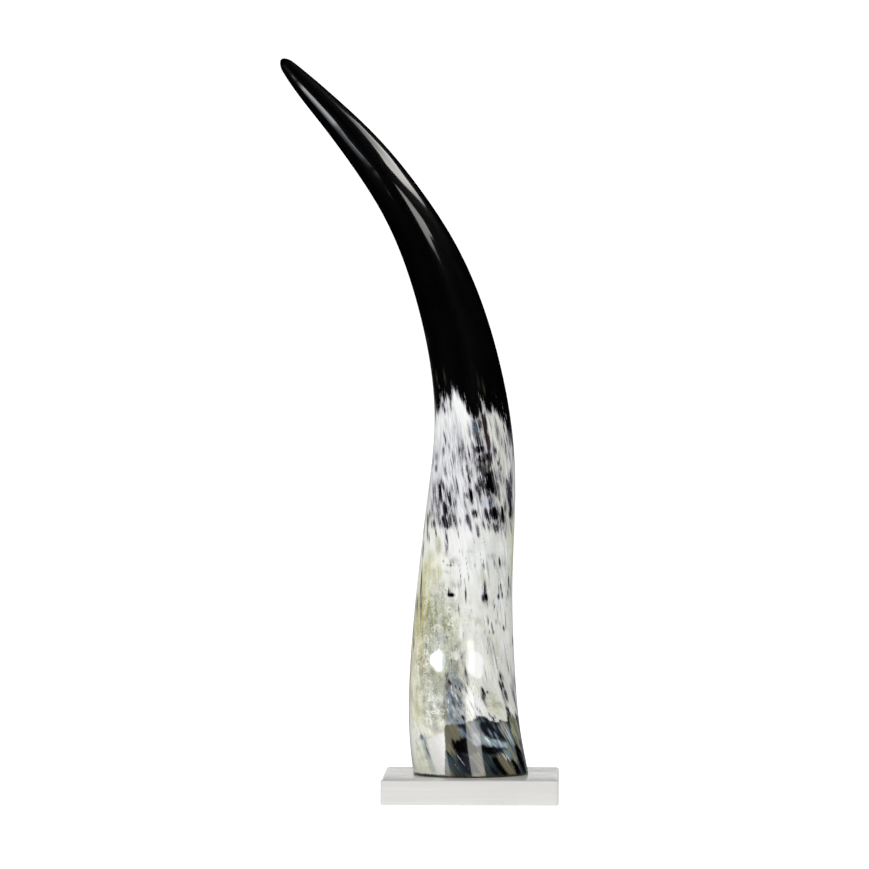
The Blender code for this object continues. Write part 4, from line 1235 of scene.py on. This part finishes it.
studio = {
    "fill": 0.50,
    "skyGlow": 1.1,  # the white behind the object, as the camera sees it
    "floorGlow": 0.7,
    "floorTone": 0.9,
    "floorSize": 15.0,
    # softboxes that the gloss mirrors, as rows from low to high:
    # degrees above level, left and right end in degrees right of the camera, brightness there
    "panels": {
        "leftPanel": [
            (2, -78, -35, 0.5, 0.3), (6, -78, -35, 1.8, 0.9), (8, -78, -35, 2.5, 1.3),
            (10.5, -77, -35, 3.1, 1.9), (12.5, -76, -35, 6, 3.2), (14.5, -76, -36, 7.5, 4.4),
            (15.3, -76, -40, 7.5, 4.6), (16, -76, -56, 7.5, 6), (26, -76, -54, 8, 8),
        ],
        "rightPanel": [
            (9.3, 9, 20, 0, 0), (10.5, 9, 20, 1.8, 1.8), (12, 8, 20, 3.2, 3.2), (13.8, 7, 20, 4.3, 4.3),
            (17, 6, 21, 4.4, 4.4), (19, 5, 25, 4.4, 4.4), (20.5, 5, 31, 5.0, 5.0), (26, 3, 30, 5.0, 5.0),
            (29, 1, 20, 4.2, 4.2), (31, 1, 12, 4.0, 4.0),
        ],
        "upperPanel": [
            (40.5, 80, 93, 2.8, 2.8), (42, 74, 94, 4.6, 4.6), (44, 64, 95, 6.6, 6.6),
            (45.5, 42, 95, 7.2, 7.2), (49, 28, 96, 9.8, 9.8), (51, 22, 98, 10.3, 10.3),
            (53, 23, 112, 9.8, 9.8), (57, 27, 114, 8.6, 8.6), (60, 29, 116, 7.6, 7.6),
            (63, 31, 123, 5.8, 5.8), (67, 37, 120, 4.5, 4.5), (71, 40, 112, 3.2, 3.2),
            (75, 49, 104, 1.9, 1.9), (79, 58, 90, 0.7, 0.7),
        ],
        "rearPanel": [(2, 170, 190, 1.75, 1.75), (9, 170, 190, 1.75, 1.75)],
        "leftWall": [(-1.5, -166, -110, 0.6, 0.4), (9, -166, -110, 0.6, 0.4)],
        "rightWall": [(-3, 110, 166, 0.2, 0.3), (3, 110, 166, 0.2, 0.3)],
    },
    "panelDistance": 20.0,
    "panelHeight": 0.3,
    "panelGrid": (24, 96),
    # the left light is a little cool, and the right and upper ones are a little warm
    "panelTints": {
        "leftPanel": (0.94, 0.98, 1.03), "rightPanel": (1.0, 1.0, 0.95), "upperPanel": (1.015, 0.99, 0.95),
    },
    # broad lamps for the matt surfaces: degrees right, degrees up, distance, size, watts
    "lamps": {
        "frontLamp": (-6, 35, 3.0, 2.4, 18.0),
        "leftLamp": (-60, 25, 3.0, 2.0, 8.5),
        "topLamp": (90, 75, 3.0, 2.4, 5.0),
    },
    "lampHeight": 0.2,
}


def directionOf(aside, up):
    aside, up = radians(aside), radians(up)
    level = -cameraAhead * cos(aside) + cameraRight * sin(aside)
    return level * cos(up) + Vector((0, 0, sin(up)))


def glowMaterial(name, tint):
    material, tree, shader = newMaterial(f"{name} glow")
    tree.nodes.remove(shader)
    glow = addNode(tree, "ShaderNodeEmission")
    glow.inputs["Color"].default_value = (*tint, 1.0)
    strength = addNode(tree, "ShaderNodeAttribute", attribute_name="glow")
    tree.links.new(strength.outputs["Fac"], glow.inputs["Strength"])
    tree.links.new(glow.outputs["Emission"], tree.nodes["Material Output"].inputs["Surface"])
    return material


def makePanel(name, rows, material):
    rows = np.array(rows, float)
    across, up = studio["panelGrid"]
    bm = bmesh.new()
    glow = bm.verts.layers.float.new("glow")
    bmesh.ops.create_grid(bm, x_segments=across, y_segments=up, size=0.5)
    for vert in bm.verts:
        above = rows[0, 0] + (rows[-1, 0] - rows[0, 0]) * (vert.co.y + 0.5)
        low, high, first, last = (np.interp(above, rows[:, 0], rows[:, i]) for i in (1, 2, 3, 4))
        share = vert.co.x + 0.5
        vert[glow] = first + (last - first) * share
        outward = directionOf(low + (high - low) * share, above)
        vert.co = outward * studio["panelDistance"] + Vector((0, 0, studio["panelHeight"]))
    panel = pieceFromBmesh(name, bm, material, sharpAngle=180)
    panel.visible_camera = False
    panel.visible_diffuse = False
    panel.visible_shadow = False


def makeLamp(name, aside, up, distance, size, power):
    data = bpy.data.lights.new(name, "AREA")
    data.shape = "SQUARE"
    data.size = size
    data.energy = power
    lamp = bpy.data.objects.new(name, data)
    direction = directionOf(aside, up)
    lamp.location = direction * distance + Vector((0, 0, studio["lampHeight"]))
    lamp.rotation_mode = "QUATERNION"
    lamp.rotation_quaternion = direction.to_track_quat("Z", "Y")
    lamp.visible_glossy = False
    lamp.visible_camera = False
    bpy.context.scene.collection.objects.link(lamp)


def makeFloor():
    bm = bmesh.new()
    bmesh.ops.create_grid(bm, x_segments=1, y_segments=1, size=studio["floorSize"])
    material, _, shader = newMaterial("white floor")
    shader.inputs["Base Color"].default_value = (*[studio["floorTone"]] * 3, 1)
    shader.inputs["Roughness"].default_value = 1.0
    shader.inputs["Specular IOR Level"].default_value = 0.0
    shader.inputs["Emission Color"].default_value = (1, 1, 1, 1)
    shader.inputs["Emission Strength"].default_value = studio["floorGlow"]
    floor = pieceFromBmesh("studioFloor", bm, material, sharpAngle=30)
    floor.visible_glossy = False


def makeWorld():
    world = bpy.data.worlds.new("studio")
    world.use_nodes = True
    tree = world.node_tree
    tree.nodes.clear()
    output = addNode(tree, "ShaderNodeOutputWorld")
    seen = addNode(tree, "ShaderNodeBackground")
    seen.inputs["Strength"].default_value = studio["skyGlow"]
    fill = addNode(tree, "ShaderNodeBackground")
    fill.inputs["Strength"].default_value = studio["fill"]
    path = addNode(tree, "ShaderNodeLightPath")
    mix = addNode(tree, "ShaderNodeMixShader")
    for background in (seen, fill):
        background.inputs["Color"].default_value = (1, 1, 1, 1)
    tree.links.new(path.outputs["Is Camera Ray"], mix.inputs["Fac"])
    tree.links.new(fill.outputs[0], mix.inputs[1])
    tree.links.new(seen.outputs[0], mix.inputs[2])
    tree.links.new(mix.outputs[0], output.inputs["Surface"])
    world.cycles_visibility.glossy = False
    bpy.context.scene.world = world


makeWorld()
makeFloor()
for name, rows in studio["panels"].items():
    tint = studio["panelTints"].get(name, (1.0, 1.0, 1.0))
    makePanel(name, rows, glowMaterial(name, tint))
for name, values in studio["lamps"].items():
    makeLamp(name, *values)
scene = bpy.context.scene
scene.view_settings.view_transform = "Standard"
scene.view_settings.look = "None"
print("studio lit")
